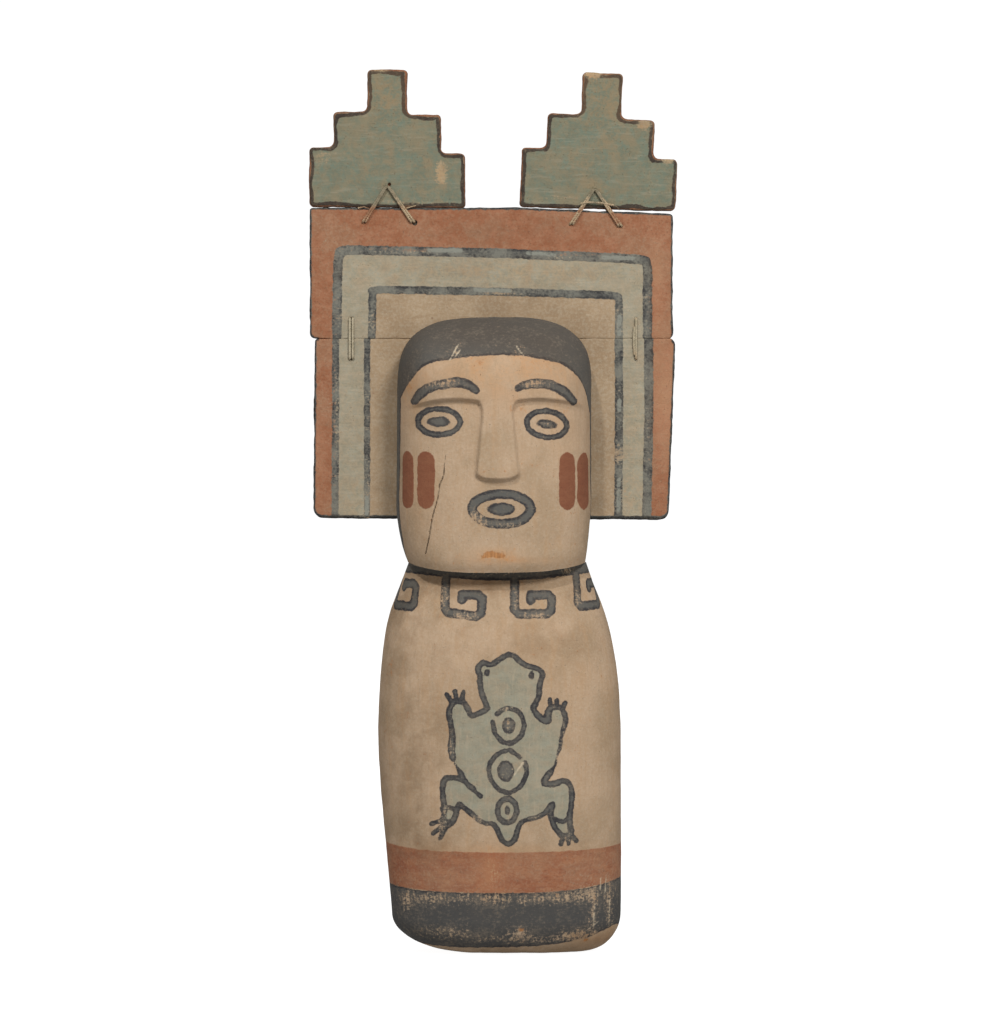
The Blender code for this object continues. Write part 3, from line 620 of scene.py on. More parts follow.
def figure_paint(piece, around, is_head):
    """Lays hair, face, frets, frog and bands on the figure."""
    points = coordinates(piece) / MM
    x, y, z = points.T
    flat = points[:, [0, 2]]
    neck = BODY_HEIGHT / MM
    face = flat - np.array([FACE_MIDDLE / MM, neck])
    wound = np.column_stack([around / MM, z - neck])
    frog = (flat - np.array(FROG_AT)) / (1.0, FROG_SQUEEZE)
    hidden = np.where(y < FRONT_DEPTH_MM, 0.0, -2 * FAR)

    hair = np.where(is_head, hair_shape(x, y, face), -FAR)
    features = face_shape(face) + hidden + np.where(is_head, 0.0, -2 * FAR)
    bars = np.where(is_head, cheek_bars(wound), -FAR)
    frets = np.where(is_head | (z < neck - 24), -FAR, fret_shape(wound))
    frog_lines, frog_fill = frog_shapes(frog)

    rise = (np.abs(x) / BODY_HALF_MM) ** 3
    band_top = BAND_TOP_MM + np.where(x > 0, 1.2, 2.0) * rise
    band_foot = BAND_FOOT_MM + np.where(x > 0, 3.7, 1.8) * rise
    band = np.minimum(z - band_foot, band_top - z)
    foot = np.minimum(band_foot - z, z - np.interp(x, *BLACK_FOOT_MM))
    thick_foot = 0.55 * (foot > 0.6) * smooth_step((30 - z) / 12)

    scratches = [stroke(frog, FROG_SCRATCH, 0.7)]
    for where, scratch_lines, width in (
        (face, HAIR_SCRATCHES, 0.5), (wound, NECK_SCRATCHES, 0.35), (flat, FOOT_SCRATCHES, 0.4),
    ):
        scratches += [stroke(where, line, width) for line in scratch_lines]
    bare = union(
        ellipse(face, (-2.4, 3.3), (5.4, 1.7)) - 0.5,
        ellipse(flat, (28.6, 5.0), (2.4, 1.2)) - 0.9,
        ellipse(flat, (7.4, 9.0), (1.9, 1.3)) - 0.7,
    )
    wear = soft_spots(flat, FIGURE_WEAR) + soft_spots(face, FACE_WEAR)
    wear += soft_spots(frog, FROG_WEAR) + soft_spots(wound, FRET_WEAR)
    warm = soft_spots(face, FACE_WARMTH) + soft_spots(flat, FIGURE_WARMTH)
    lay_paint(
        piece,
        black=union(hair, features, frets, frog_lines + hidden, foot),
        green=frog_fill + hidden,
        red=union(band, bars),
        wood=bare + hidden,
        pale=union(*scratches) + hidden,
        crack=stroke(face, as_line(CRACK), CRACK_REACH_MM) + hidden,
        fade=np.clip(wear, 0, 1),
        # darker patches: dirt, and painted shade below the chin
        grime=np.clip(soft_spots(flat, FIGURE_GRIME_AND_SHADE), 0, 1),
        deep=np.maximum((bars > -2.0).astype(float), thick_foot),
        warm=np.clip(warm, 0, 1),
    )


def make_figure():
    points, around, heads = figure_points()
    ring_count, columns = points.shape[:2]
    index = np.arange(ring_count * columns).reshape(ring_count, columns)
    low, high = index[:-1], index[1:]
    nexts = np.roll(np.arange(columns), -1)
    quads = np.stack([low, low[:, nexts], high[:, nexts], high], axis=-1).reshape(-1, 4)
    flat = points.reshape(-1, 3)
    crown = flat[index[-1]].mean(0)
    foot = flat[index[0]].mean(0)
    every = np.vstack([flat, crown, foot])
    top, bottom = len(flat), len(flat) + 1
    faces = quads.tolist()
    faces += [[int(index[-1, k]), int(index[-1, nexts[k]]), top] for k in range(columns)]
    faces += [[int(index[0, nexts[k]]), int(index[0, k]), bottom] for k in range(columns)]
    piece = mesh_from("painted_figure", every, faces)
    hand_carve(piece, ((26, 0.35), (7, 0.14), (2.2, 0.05)))
    figure_paint(piece, np.append(around.ravel(), (0.0, 0.0)), np.append(heads.ravel(), (True, False)))
    return piece


# Form of the headdress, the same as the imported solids'
PIECE_GAP = 0.0003
BOARD_THICKNESS = 0.0065
SEAM_BELOW_CROWN = 0.00745
LOWER_BOARD_LEFT = 0.0630
LOWER_BOARD_RIGHT = 0.0598
LOWER_BOARD_LEAN_IN = 0.0024
LOWER_BOARD_LEAN_OUT = 0.0006
UPPER_BOARD_HEIGHT = 0.0444
UPPER_BOARD_LEFT = 0.0647
UPPER_BOARD_RIGHT = 0.0588
UPPER_BOARD_BEND = 0.0060
UPPER_BOARD_FALL = math.radians(2.2)
BOARD_CORNER = 0.0026
TERRACE_HEIGHT = 0.0462
TERRACE_WIDTH = 0.0534
TERRACE_MIDDLE_WIDTH = 0.0369
TERRACE_TOP_WIDTH = 0.0141
TERRACE_FIRST_STEP = 0.0202
TERRACE_SECOND_STEP = 0.0321
TERRACE_STEP_FALL = 0.0021
TERRACE_CORNER = 0.0018
TERRACE_INNER_CORNER = 0.0016
LEFT_TERRACE = (-0.0381, 0.0003, 0.0)  # the middle of its foot, its gap to the board, its lean
RIGHT_TERRACE = (0.0330, 0.0003, UPPER_BOARD_FALL)
CORD_DIAMETER = 0.00085
CORD_CLEARANCE = 0.0003
HOLE_RISE = 0.1
TIGHT_PITCH = 0.00046  # the strands are pressed together where they go through a terrace's hole
LEG_PITCH = 0.00098
TIGHT_CLEARANCE = -0.00016
TIE_HOLE_UP = 0.0064
TIE_HOLE_DOWN = 0.0051
TIE_LEGS = (0.0078, 0.0086)
LEFT_TIE_SHIFT = 0.0
RIGHT_TIE_SHIFT = -0.0010
STITCH_REACH = 0.0068
STITCHES = ((-0.0503, 2), (0.0460, 1))

BOARD_FRONT = SEAT_BACK + PIECE_GAP
BOARD_BACK = BOARD_FRONT + BOARD_THICKNESS
SEAM = BODY_HEIGHT + HEAD_HEIGHT - SEAM_BELOW_CROWN
LOWER_FOOT = BODY_HEIGHT + LEDGE_ABOVE_NECK + PIECE_GAP
UPPER_FOOT = SEAM + PIECE_GAP / 2
LEAST_CORNER = 0.0013
ARRIS = 0.0011
SEAM_LIP = 0.42  # how sharp the edges at the seam are, as a share of the others
EDGE_PITCH = 0.0006
FACE_PITCH = 0.00062
REAR_PITCH = 0.0028


def upper_board_top(x):
    return UPPER_FOOT + UPPER_BOARD_HEIGHT - max(0.0, x - UPPER_BOARD_BEND) * math.tan(UPPER_BOARD_FALL)


def rounded(corners):
    """A closed outline of (x, z) from corners of (x, z, radius)."""
    outline = []
    for k, (x, z, radius) in enumerate(corners):
        here = Vector((x, z))
        if radius <= 0:
            outline.append(here)
            continue
        radius = max(radius, LEAST_CORNER)
        to_last = (Vector(corners[k - 1][:2]) - here).normalized()
        to_next = (Vector(corners[(k + 1) % len(corners)][:2]) - here).normalized()
        half = to_last.angle(to_next) / 2
        middle = here + (to_last + to_next).normalized() * (radius / math.sin(half))
        start = here + to_last * (radius / math.tan(half)) - middle
        end = here + to_next * (radius / math.tan(half)) - middle
        sweep = -start.angle_signed(end)
        for n in range(7):
            turn = sweep * n / 6
            across = start.x * math.cos(turn) - start.y * math.sin(turn)
            up = start.x * math.sin(turn) + start.y * math.cos(turn)
            outline.append(middle + Vector((across, up)))
    return np.array(outline)


def resampled(loop, pitch):
    closed = np.vstack([loop, loop[:1]])
    along = np.concatenate([[0.0], np.cumsum(np.linalg.norm(np.diff(closed, axis=0), axis=1))])
    count = round(along[-1] / pitch)
    wanted = along[-1] * np.arange(count) / count
    return np.column_stack([np.interp(wanted, along, closed[:, 0]), np.interp(wanted, along, closed[:, 1])])


def inward(loop):
    run = np.roll(loop, -1, axis=0) - np.roll(loop, 1, axis=0)
    run /= np.linalg.norm(run, axis=1)[:, None]
    turn = np.sum(loop[:, 0] * np.roll(loop[:, 1], -1) - np.roll(loop[:, 0], -1) * loop[:, 1])
    return np.column_stack([-run[:, 1], run[:, 0]]) * (1 if turn > 0 else -1)


def hole_loop(hole, grow, sides=22):
    x, z, half_width, half_height = hole
    turns = 2 * math.pi * np.arange(sides) / sides
    return np.column_stack(
        [x + (half_width + grow) * np.cos(turns), z + (half_height + grow) * np.sin(turns)]
    )


def filled(loops, pitch):
    """Triangles that fill the first loop and leave out the others: points, faces, each loop's numbers."""
    outline, holes = loops[0] / MM, [loop / MM for loop in loops[1:]]
    step = pitch / MM
    low, high = outline.min(0), outline.max(0)
    rows = np.arange(low[1] + step / 2, high[1], step * 0.87)
    grid = []
    for n, z in enumerate(rows):
        xs = np.arange(low[0] + step * (0.25 + 0.5 * (n % 2)), high[0], step)
        grid.append(np.column_stack([xs, np.full(len(xs), z)]))
    grid = np.vstack(grid)
    clear = area(grid, outline) > step * 0.45
    for hole in holes:
        clear &= area(grid, hole) < -step * 0.4
    grid = grid[clear]
    every = np.vstack([outline, *holes, grid])
    edges, ids, start = [], [], 0
    for loop in (outline, *holes):
        count = len(loop)
        edges += [(start + k, start + (k + 1) % count) for k in range(count)]
        ids.append(np.arange(start, start + count))
        start += count
    verts, _, faces, origins, _, _ = delaunay_2d_cdt([Vector(p) for p in every.tolist()], edges, [], 0, 1e-6)
    new_id = np.full(len(every), -1)
    for new, olds in enumerate(origins):
        for old in olds:
            new_id[old] = new
    points = np.array([v[:] for v in verts])
    faces = np.array([f for f in faces if len(f) == 3])
    middles = points[faces].mean(1)
    keep = area(middles, outline) > 0
    for hole in holes:
        keep &= area(middles, hole) < 0
    return points * MM, faces[keep], [new_id[i] for i in ids]


def strip(low, high):
    """Faces between two closed rows of points, given by the points' numbers."""
    low, high = [int(k) for k in low], [int(k) for k in high]
    nexts = [(k + 1) % len(low) for k in range(len(low))]
    return [[low[k], low[n], high[n], high[k]] for k, n in enumerate(nexts)]


def board_piece(name, corners, holes, seed):
    """A board with hand-cut edges, rubbed arrises and drilled holes."""
    outline = resampled(rounded(corners), EDGE_PITCH)
    inside = inward(outline)
    cut = np.array([noise.noise(Vector((p[0], seed, p[1])) * 140) for p in outline.tolist()])
    cut += 0.5 * np.array([noise.noise(Vector((p[0], seed + 3.0, p[1])) * 520) for p in outline.tolist()])
    outline += inside * (0.00026 * np.clip(0.5 + cut, 0, 1.5))[:, None]
    rub = 1 + 0.35 * np.array([noise.noise(Vector((p[0], seed + 9.0, p[1])) * 220) for p in outline.tolist()])
    rub *= np.where(np.abs(outline[:, 1] - SEAM) < 0.0012, SEAM_LIP, 1.0)
    turns = np.linspace(0, math.pi / 2, 5)
    rows = [(ARRIS * (1 - math.sin(t)), BOARD_FRONT + ARRIS * (1 - math.cos(t))) for t in turns]
    rows += [(0.0, BOARD_FRONT + BOARD_THICKNESS * share) for share in (0.34, 0.5, 0.66)]
    rows += [(ARRIS * (1 - math.sin(t)), BOARD_BACK - ARRIS * (1 - math.cos(t))) for t in turns[::-1]]
    hole_rows = ((0.0002, 0.0), (0.0, 0.0002), (0.0, 0.0007), (-0.0001, 0.0012))  # growth and depth
    points, faces = [], []

    def add(flat, depth):
        start = len(points)
        points.extend((x, depth, z) for x, z in flat)
        return start

    caps = []
    for end, pitch in ((0, FACE_PITCH), (-1, REAR_PITCH)):
        loops = [outline + inside * (rows[end][0] * rub)[:, None]]
        loops += [hole_loop(hole, hole_rows[0][0]) for hole in holes]
        flat, triangles, ids = filled(loops, pitch)
        start = add(flat, rows[end][1])
        faces.extend((triangles + start).tolist())
        caps.append([i + start for i in ids])
    front, back = caps
    walls = [(front[0], back[0], [(outline + inside * (r[0] * rub)[:, None], r[1]) for r in rows[1:-1]])]
    for k, hole in enumerate(holes):
        for rim, face, inner_way in ((front[k + 1], BOARD_FRONT, 1), (back[k + 1], BOARD_BACK, -1)):
            depths = [(hole_loop(hole, grow), face + inner_way * depth) for grow, depth in hole_rows[1:]]
            floor = add(*depths[-1])
            centre = add([(hole[0], hole[1])], depths[-1][1])
            ids = np.arange(floor, floor + len(rim))
            faces.extend([int(ids[n]), int(ids[(n + 1) % len(ids)]), centre] for n in range(len(ids)))
            walls.append((rim, ids, depths[:-1]))
    for first, last, between in walls:
        chain = [first]
        for flat, depth in between:
            start = add(flat, depth)
            chain.append(np.arange(start, start + len(flat)))
        chain.append(last)
        for a, b in zip(chain, chain[1:]):
            faces.extend(strip(a, b))
    piece = mesh_from(name, points, faces)
    bm = bmesh.new()
    bm.from_mesh(piece.data)
    bmesh.ops.recalc_face_normals(bm, faces=bm.faces)
    bm.to_mesh(piece.data)
    bm.free()
    hand_carve(piece, ((18, 0.16), (5, 0.10), (1.6, 0.05)))
    return piece


def hole_for(x, z, strands):
    """A drilled hole that the strands fill."""
    across = (strands - 1) * (TIGHT_PITCH if strands == 4 else LEG_PITCH) / 2
    round_half = CORD_DIAMETER / 2 + TIGHT_CLEARANCE
    return x, z, across + round_half, round_half + across * HOLE_RISE


def tie_places(terrace, shift):
    centre, gap, _ = terrace
    x = centre + shift
    left, right = x - TIE_LEGS[0], x + TIE_LEGS[1]
    apex = (x, upper_board_top(centre) + gap + TIE_HOLE_UP)
    sides = [(x, upper_board_top(x) - TIE_HOLE_DOWN) for x in (left, right)]
    return apex, *sides


# Painted lines of the headdress, in millimetres
UPPER_OUTER = (
    (-55.2, 204.0), (-55.1, 215.0), (-54.9, 228.0), (-54.3, 234.6), (-51.5, 236.2), (-30.0, 235.9),
    (0.0, 235.2), (25.0, 234.2), (46.0, 233.2), (49.6, 231.2), (49.9, 222.0), (49.9, 204.0),
)
UPPER_INNER = (
    (-43.4, 204.0), (-43.2, 215.0), (-43.0, 221.2), (-41.2, 222.8), (-20.0, 222.6), (0.0, 222.2),
    (20.0, 221.6), (37.8, 220.9), (40.1, 219.2), (40.2, 213.0), (40.2, 204.0),
)
LOWER_OUTER = ((-55.9, 142.0), (-55.7, 180.0), (-55.6, 208.0), (50.3, 208.0), (50.4, 180.0), (49.6, 142.0))
LOWER_INNER = ((-45.0, 142.0), (-45.0, 180.0), (-44.9, 208.0), (40.2, 208.0), (40.3, 180.0), (40.0, 142.0))
UPPER_WEAR = (
    (-1.0, 222.4, 9.0, 2.0, 0.36), (-30.0, 236.0, 16.0, 1.6, 0.30), (22.0, 234.5, 12.0, 1.6, 0.30),
    (48.0, 238.0, 8.0, 3.0, 0.2), (-58.0, 240.0, 4.0, 8.0, 0.2), (-43.2, 212.0, 1.6, 6.0, 0.28),
    (49.8, 216.0, 2.0, 8.0, 0.24), (40.2, 212.0, 1.6, 7.0, 0.30), (-55.0, 214.0, 2.0, 8.0, 0.22),
)
LOWER_WEAR = (
    (-55.6, 180.0, 2.2, 30.0, 0.26), (-45.0, 152.0, 1.8, 12.0, 0.32), (40.2, 167.0, 2.2, 4.0, 0.46),
    (41.0, 154.0, 3.5, 6.0, 0.28), (45.5, 165.0, 4.0, 20.0, 0.20), (53.5, 170.0, 1.4, 24.0, 0.20),
    (-45.0, 182.0, 1.6, 16.0, 0.18), (40.3, 188.0, 1.6, 12.0, 0.12), (50.3, 175.0, 1.6, 26.0, 0.12),
)
TERRACE_LINE_MM = 1.75
TERRACE_WEAR = {
    "left_terrace": (
        (-19.8, 262.5, 2.0, 4.0, 0.95), (-41.5, 297.6, 4.0, 1.2, 0.8), (-60.0, 268.0, 3.0, 3.0, 0.4),
        (-30.0, 252.6, 12.0, 1.0, 0.4),
    ),
    "right_terrace": (
        (31.6, 295.6, 3.6, 1.8, 0.95), (48.8, 278.4, 2.6, 2.2, 0.8), (56.9, 266.6, 2.4, 1.4, 0.8),
        (20.0, 254.0, 9.0, 1.0, 0.4),
    ),
}


# How far below the board's top edge each end of a terrace's foot reaches: left, right
FOOT_DROPS = {"left_terrace": (-0.0003, -0.0007), "right_terrace": (-0.0003, 0.0003)}
TERRACE_CLOUDS = (
    (27.0, 266.0, 5.0, 5.0, 0.55), (37.0, 271.0, 5.0, 4.0, 0.45), (31.0, 258.0, 4.0, 3.0, 0.5),
    (-45.0, 262.0, 6.0, 5.0, 0.30), (-38.0, 287.0, 7.0, 10.0, 0.8), (34.0, 287.0, 9.0, 11.0, 0.9),
    (-25.0, 262.0, 5.0, 6.0, 0.4),
)
BARE_BACK = 2.0  # how surely the backs are bare wood
WORN_EDGE = 0.2  # the same for the boards' edges
BOARD_GRIME = (
    (0.0, 206.4, 60.0, 1.6, 0.22), (-50.0, 160.0, 8.0, 20.0, 0.15), (4.0, 243.0, 26.0, 5.0, 0.3),
    (0.0, 229.0, 40.0, 4.0, 0.28),
)
RIM_MM = 1.0  # the black that has run over a board's edge
RIM_FOOT_MM = 2.0
# Patches of the lines that were painted over pale
BOARD_WINDOWS = (
    ((34.9, 233.8), (45.1, 233.5)), ((-24.0, 236.3), (-13.3, 236.1)), ((9.5, 235.3), (18.4, 234.8)),
    ((-8.6, 222.9), (3.2, 222.6)), ((40.4, 213.9), (40.3, 207.8)), ((40.4, 185.4), (40.3, 182.2)),
    ((40.2, 158.6), (40.1, 148.4)), ((-45.1, 152.6), (-45.1, 147.0)),
)
BOARD_CLOUDS = (
    (0.0, 229.0, 40.0, 3.4, 0.8), (56.0, 185.0, 5.0, 22.0, 0.8), (53.0, 225.0, 2.4, 17.0, 0.5),
    (60.0, 232.0, 3.0, 10.0, 0.3), (-62.0, 165.0, 3.0, 14.0, 0.3), (-48.0, 229.0, 6.0, 5.0, 0.25),
    (45.0, 150.0, 4.0, 8.0, 0.5), (-50.0, 150.0, 5.0, 8.0, 0.4), (45.5, 178.0, 4.0, 12.0, 0.35),
    (-50.0, 176.0, 5.0, 14.0, 0.2),
)


def front_only(y, values, depth=0.9):
    return np.where(y < BOARD_FRONT / MM + depth, values, -FAR)


def tableta_paint(piece, outer, inner, wear, corners):
    points = coordinates(piece) / MM
    y, flat = points[:, 1], points[:, [0, 2]]
    curved = len(outer) > 6
    foot = corners[0][1] / MM
    rim = RIM_MM + (RIM_FOOT_MM - RIM_MM) * smooth_step(1 - (flat[:, 1] - foot) / 3) * (not curved)
    rim = rim - area(flat, rounded(corners) / MM)
    windows = union(*[stroke(flat, line, 1.5) for line in BOARD_WINDOWS])
    outer_line = as_line(outer) if curved else np.array(outer)
    inner_line = as_line(inner) if curved else np.array(inner)
    within_outer, within_inner = area(flat, outer_line), area(flat, inner_line)
    if curved:
        lines = union(stroke(flat, outer_line, 3.2), stroke(flat, inner_line, 2.7))
    else:
        lines = union(
            stroke(flat, outer_line[:3], 2.4), stroke(flat, outer_line[3:], 3.1),
            stroke(flat, inner_line[:3], 2.1), stroke(flat, inner_line[3:], 2.8),
        )
    side = np.minimum(y - BOARD_FRONT / MM - 0.75, BOARD_BACK / MM - 0.5 - y)
    away = np.minimum(flat[:, 0] + LOWER_BOARD_LEFT / MM, LOWER_BOARD_RIGHT / MM - flat[:, 0])
    in_seam = (np.abs(flat[:, 1] - SEAM / MM) < 1.2) & (away > 2.0)
    rim = np.where(in_seam, -FAR, rim)
    lay_paint(
        piece,
        black=union(front_only(y, lines), np.where(in_seam, -FAR, union(side, rim))),
        green=front_only(y, np.minimum(within_outer, -within_inner)),
        red=front_only(y, -within_outer),
        wood=np.where(y > BOARD_BACK / MM - 0.4, BARE_BACK, np.where(side > 0.9, WORN_EDGE, -FAR)),
        pale=front_only(y, windows, 0.3),
        warm=np.clip(soft_spots(flat, BOARD_CLOUDS) + 0.8 * (side > 0.2), 0, 1),
        fade=np.clip(soft_spots(flat, wear), 0, 1),
        deep=smooth_step(rim + 0.3) * (side < 0.4),
        grime=np.clip(soft_spots(flat, BOARD_GRIME) + smooth_step(rim + 0.2), 0, 1),
    )


def terrace_paint(piece, outline, wear):
    points = coordinates(piece) / MM
    y, flat = points[:, 1], points[:, [0, 2]]
    within = area(flat, outline)
    uneven = np.array([noise.noise(Vector((p[0], 4.0, p[1])) * 0.16) for p in flat.tolist()])
    border = np.minimum(TERRACE_LINE_MM * (1 + 0.5 * uneven) - within, within - 0.7 - 0.6 * uneven)
    side = np.minimum(y - BOARD_FRONT / MM - 0.6, BOARD_BACK / MM - 0.4 - y)
    lay_paint(
        piece,
        black=front_only(y, border, 0.5),
        green=front_only(y, np.full(len(y), FAR)),
        red=union(side, 0.95 + 0.6 * uneven - within),
        wood=np.where(y > BOARD_BACK / MM - 0.4, BARE_BACK, -FAR),
        fade=np.clip(soft_spots(flat, wear), 0, 1),
        warm=np.clip(soft_spots(flat, TERRACE_CLOUDS), 0, 1),
    )


def make_boards():
    """The headdress: two boards and two stepped terraces. Gives the pieces by node."""
    seam_gap = -0.0004  # the boards meet at the seam, under its worn lips
    lower_corners = (
        (-LOWER_BOARD_LEFT - LOWER_BOARD_LEAN_OUT, LOWER_FOOT - 0.0002, BOARD_CORNER * 1.5),
        (LOWER_BOARD_RIGHT - LOWER_BOARD_LEAN_IN, LOWER_FOOT - 0.0006, BOARD_CORNER * 1.2),
        (LOWER_BOARD_RIGHT, SEAM - seam_gap, BOARD_CORNER),
        (-LOWER_BOARD_LEFT, SEAM - seam_gap, BOARD_CORNER * 0.35),
    )
    upper_corners = (
        (-UPPER_BOARD_LEFT, SEAM + seam_gap, BOARD_CORNER),
        (UPPER_BOARD_RIGHT, SEAM + seam_gap, BOARD_CORNER * 0.8),
        (UPPER_BOARD_RIGHT, upper_board_top(UPPER_BOARD_RIGHT), BOARD_CORNER * 0.6),
        (UPPER_BOARD_BEND, upper_board_top(UPPER_BOARD_BEND), 0),
        (-UPPER_BOARD_LEFT, upper_board_top(-UPPER_BOARD_LEFT), BOARD_CORNER * 0.5),
    )
    left_tie, right_tie = tie_places(LEFT_TERRACE, LEFT_TIE_SHIFT), tie_places(RIGHT_TERRACE, RIGHT_TIE_SHIFT)
    below = [hole_for(x, SEAM - STITCH_REACH, turns) for x, turns in STITCHES]
    above = [hole_for(x, SEAM + STITCH_REACH, turns) for x, turns in STITCHES]
    above += [hole_for(*place, 2) for place in (left_tie[1], *right_tie[1:])]
    above.append((left_tie[2][0] + 0.0007, left_tie[2][1] - 0.0003, 0.0007, 0.0008))
    lower = board_piece("painted_lower_board", lower_corners, below, 1.0)
    upper = board_piece("painted_upper_board", upper_corners, above, 2.0)
    tableta_paint(lower, LOWER_OUTER, LOWER_INNER, LOWER_WEAR, lower_corners)
    tableta_paint(upper, UPPER_OUTER, UPPER_INNER, UPPER_WEAR, upper_corners)
    made = {"tableta_lower_board": lower, "tableta_upper_board": upper}

    wide, middle, narrow = TERRACE_WIDTH / 2, TERRACE_MIDDLE_WIDTH / 2, TERRACE_TOP_WIDTH / 2
    first, second, fall = TERRACE_FIRST_STEP, TERRACE_SECOND_STEP, TERRACE_STEP_FALL
    outer, inner = TERRACE_CORNER, TERRACE_INNER_CORNER
    steps = (
        (wide, 0, outer), (wide, first - fall, outer), (middle, first - fall, inner),
        (middle, second - fall / 2, outer), (narrow, second - fall / 2, inner),
        (narrow, TERRACE_HEIGHT, outer),
        (-narrow, TERRACE_HEIGHT, outer), (-narrow, second, inner), (-middle, second, outer),
        (-middle, first, inner), (-wide, first, outer), (-wide, 0, outer),
    )
    ties = {"left_terrace": (LEFT_TERRACE, left_tie), "right_terrace": (RIGHT_TERRACE, right_tie)}
    for seed, (node, ((centre, gap, lean), places)) in enumerate(ties.items()):
        foot = upper_board_top(centre) + gap
        corners = []
        for x, z, radius in steps:
            if z == 0:
                z = -gap + FOOT_DROPS[node][x > 0]
            turned_x = x * math.cos(lean) + z * math.sin(lean)
            turned_z = z * math.cos(lean) - x * math.sin(lean)
            corners.append((centre + turned_x, foot + turned_z, radius))
        apex_x, apex_z = places[0]
        holes = [hole_for(apex_x, apex_z - 0.0002, 4)]
        if node == "left_terrace":
            holes.append((apex_x + 0.0007, apex_z + 0.0008, 0.0004, 0.0005))
        piece = board_piece("painted_" + node, corners, holes, 11.0 + seed)
        terrace_paint(piece, rounded(corners) / MM, TERRACE_WEAR[node])
        made[node] = piece
    return made, left_tie, right_tie


# Cords


def softened(corners, radius):
    line = []
    for k, corner in enumerate(corners):
        last, after = corners[k - 1], corners[(k + 1) % len(corners)]
        start = corner + (last - corner).normalized() * radius
        end = corner + (after - corner).normalized() * radius
        for n in range(7):
            t = n / 6
            line.append(start.lerp(corner, t).lerp(corner.lerp(end, t), t))
    return line


def endless_path(strands):
    """The route of one endless cord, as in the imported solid."""
    off = CORD_DIAMETER / 2 + CORD_CLEARANCE
    front, back = BOARD_FRONT - off, BOARD_BACK + off
    corners = []
    for k, ((x1, z1), (x2, z2)) in enumerate(strands):
        lane = (k + 1) // 2 if k % 2 else 0
        behind = back + lane * (CORD_DIAMETER + CORD_CLEARANCE)
        next_x, next_z = strands[(k + 1) % len(strands)][0]
        corners += [Vector((x1, front, z1)), Vector((x2, front, z2))]
        corners += [Vector((x2, behind, z2)), Vector((next_x, behind, next_z))]
    return softened(corners, CORD_DIAMETER)


def tube(path, radius, closed, twist=0.0017, sides=12, pitch=0.00016, taper=0.0):
    """A two-ply cord along a path: its points and faces."""
    path = np.array([tuple(p) for p in path])
    if closed:
        path = np.vstack([path, path[:1]])
    along = np.concatenate([[0.0], np.cumsum(np.linalg.norm(np.diff(path, axis=0), axis=1))])
    count = max(8, round(along[-1] / pitch))
    wanted = along[-1] * np.arange(count + (0 if closed else 1)) / count
    line = np.column_stack([np.interp(wanted, along, path[:, k]) for k in range(3)])
    if closed:
        run = np.roll(line, -1, axis=0) - np.roll(line, 1, axis=0)
    else:
        run = np.gradient(line, axis=0)
    run /= np.linalg.norm(run, axis=1)[:, None]
    side = np.cross(run[0], (0.31, 0.2, 0.93))
    sides_at = []
    for direction in run:
        side = side - direction * side.dot(direction)
        side /= np.linalg.norm(side)
        sides_at.append(side)
    sides_at = np.array(sides_at)
    ups = np.cross(run, sides_at)
    turns = 2 * math.pi * np.arange(sides) / sides
    points, faces = [], []
    for k, (p, s, u) in enumerate(zip(line, sides_at, ups)):
        phase = 2 * math.pi * wanted[k] / twist
        plump = 1 + 0.10 * noise.noise(Vector((wanted[k] * 900, radius * 5000, 3.0)))
        plump *= 1 - taper * wanted[k] / along[-1]
        lobes = 0.72 + 0.28 * np.abs(np.cos(turns - phase)) ** 0.7
        reach = (radius * plump * lobes)[:, None]
        points.extend(p + reach * (np.cos(turns)[:, None] * s + np.sin(turns)[:, None] * u))
    rings = len(line)
    for k in range(rings if closed else rings - 1):
        a, b = k * sides, ((k + 1) % rings) * sides
        faces.extend([a + n, a + (n + 1) % sides, b + (n + 1) % sides, b + n] for n in range(sides))
    if not closed:
        faces.append(list(range(sides))[::-1])
        faces.append([len(points) - sides + n for n in range(sides)])
    return points, faces


def joined(parts):
    points, faces = [], []
    for more_points, more_faces in parts:
        start = len(points)
        points.extend(more_points)
        faces.extend([k + start for k in face] for face in more_faces)
    return points, faces


def fibre(start, direction, length, curl, seed):
    """A loose fibre that has come out of a cord."""
    path = [Vector(start)]
    heading = Vector(direction).normalized()
    for k in range(10):
        bend = noise.noise_vector(Vector((seed, k * 0.4, 1.0)))
        heading = (heading + bend * curl).normalized()
        path.append(path[-1] + heading * length / 10)
    return tube(path, 0.00007, False, sides=5, pitch=0.0002, taper=0.6)


def tie_strands(places):
    apex, left, right = places
    strands = []
    for place, first in ((left, -1.5), (right, 0.5)):
        for turn in (0, 1):
            at_board = place[0] + (turn - 0.5) * LEG_PITCH, place[1]
            at_apex = apex[0] + (first + turn) * TIGHT_PITCH, apex[1]
            strands.append((at_board, at_apex))
    return strands


# Short ends and extra strands that lie on the boards' front, by node, in millimetres: the line, how far it
# stands off, its thickness as a share of the cord's, and how much it tapers
SHORT_CORDS = {
    "left_terrace_tie": (
        (((-48.0, 250.4), (-46.0, 250.9), (-44.2, 250.3)), 0.0, 0.7, 0.5),
        (((-32.2, 250.2), (-30.0, 250.9), (-28.4, 251.3)), 0.0, 0.7, 0.5),
    ),
    "right_terrace_tie": ((((27.2, 251.9), (30.0, 252.4), (34.0, 252.2), (38.4, 251.4)), 0.5, 0.9, 0.0),),
    "right_seam_stitch": ((((45.6, 200.8), (45.3, 204.0), (45.25, 207.0), (45.5, 210.4)), 0.0, 1.1, 0.0),),
}
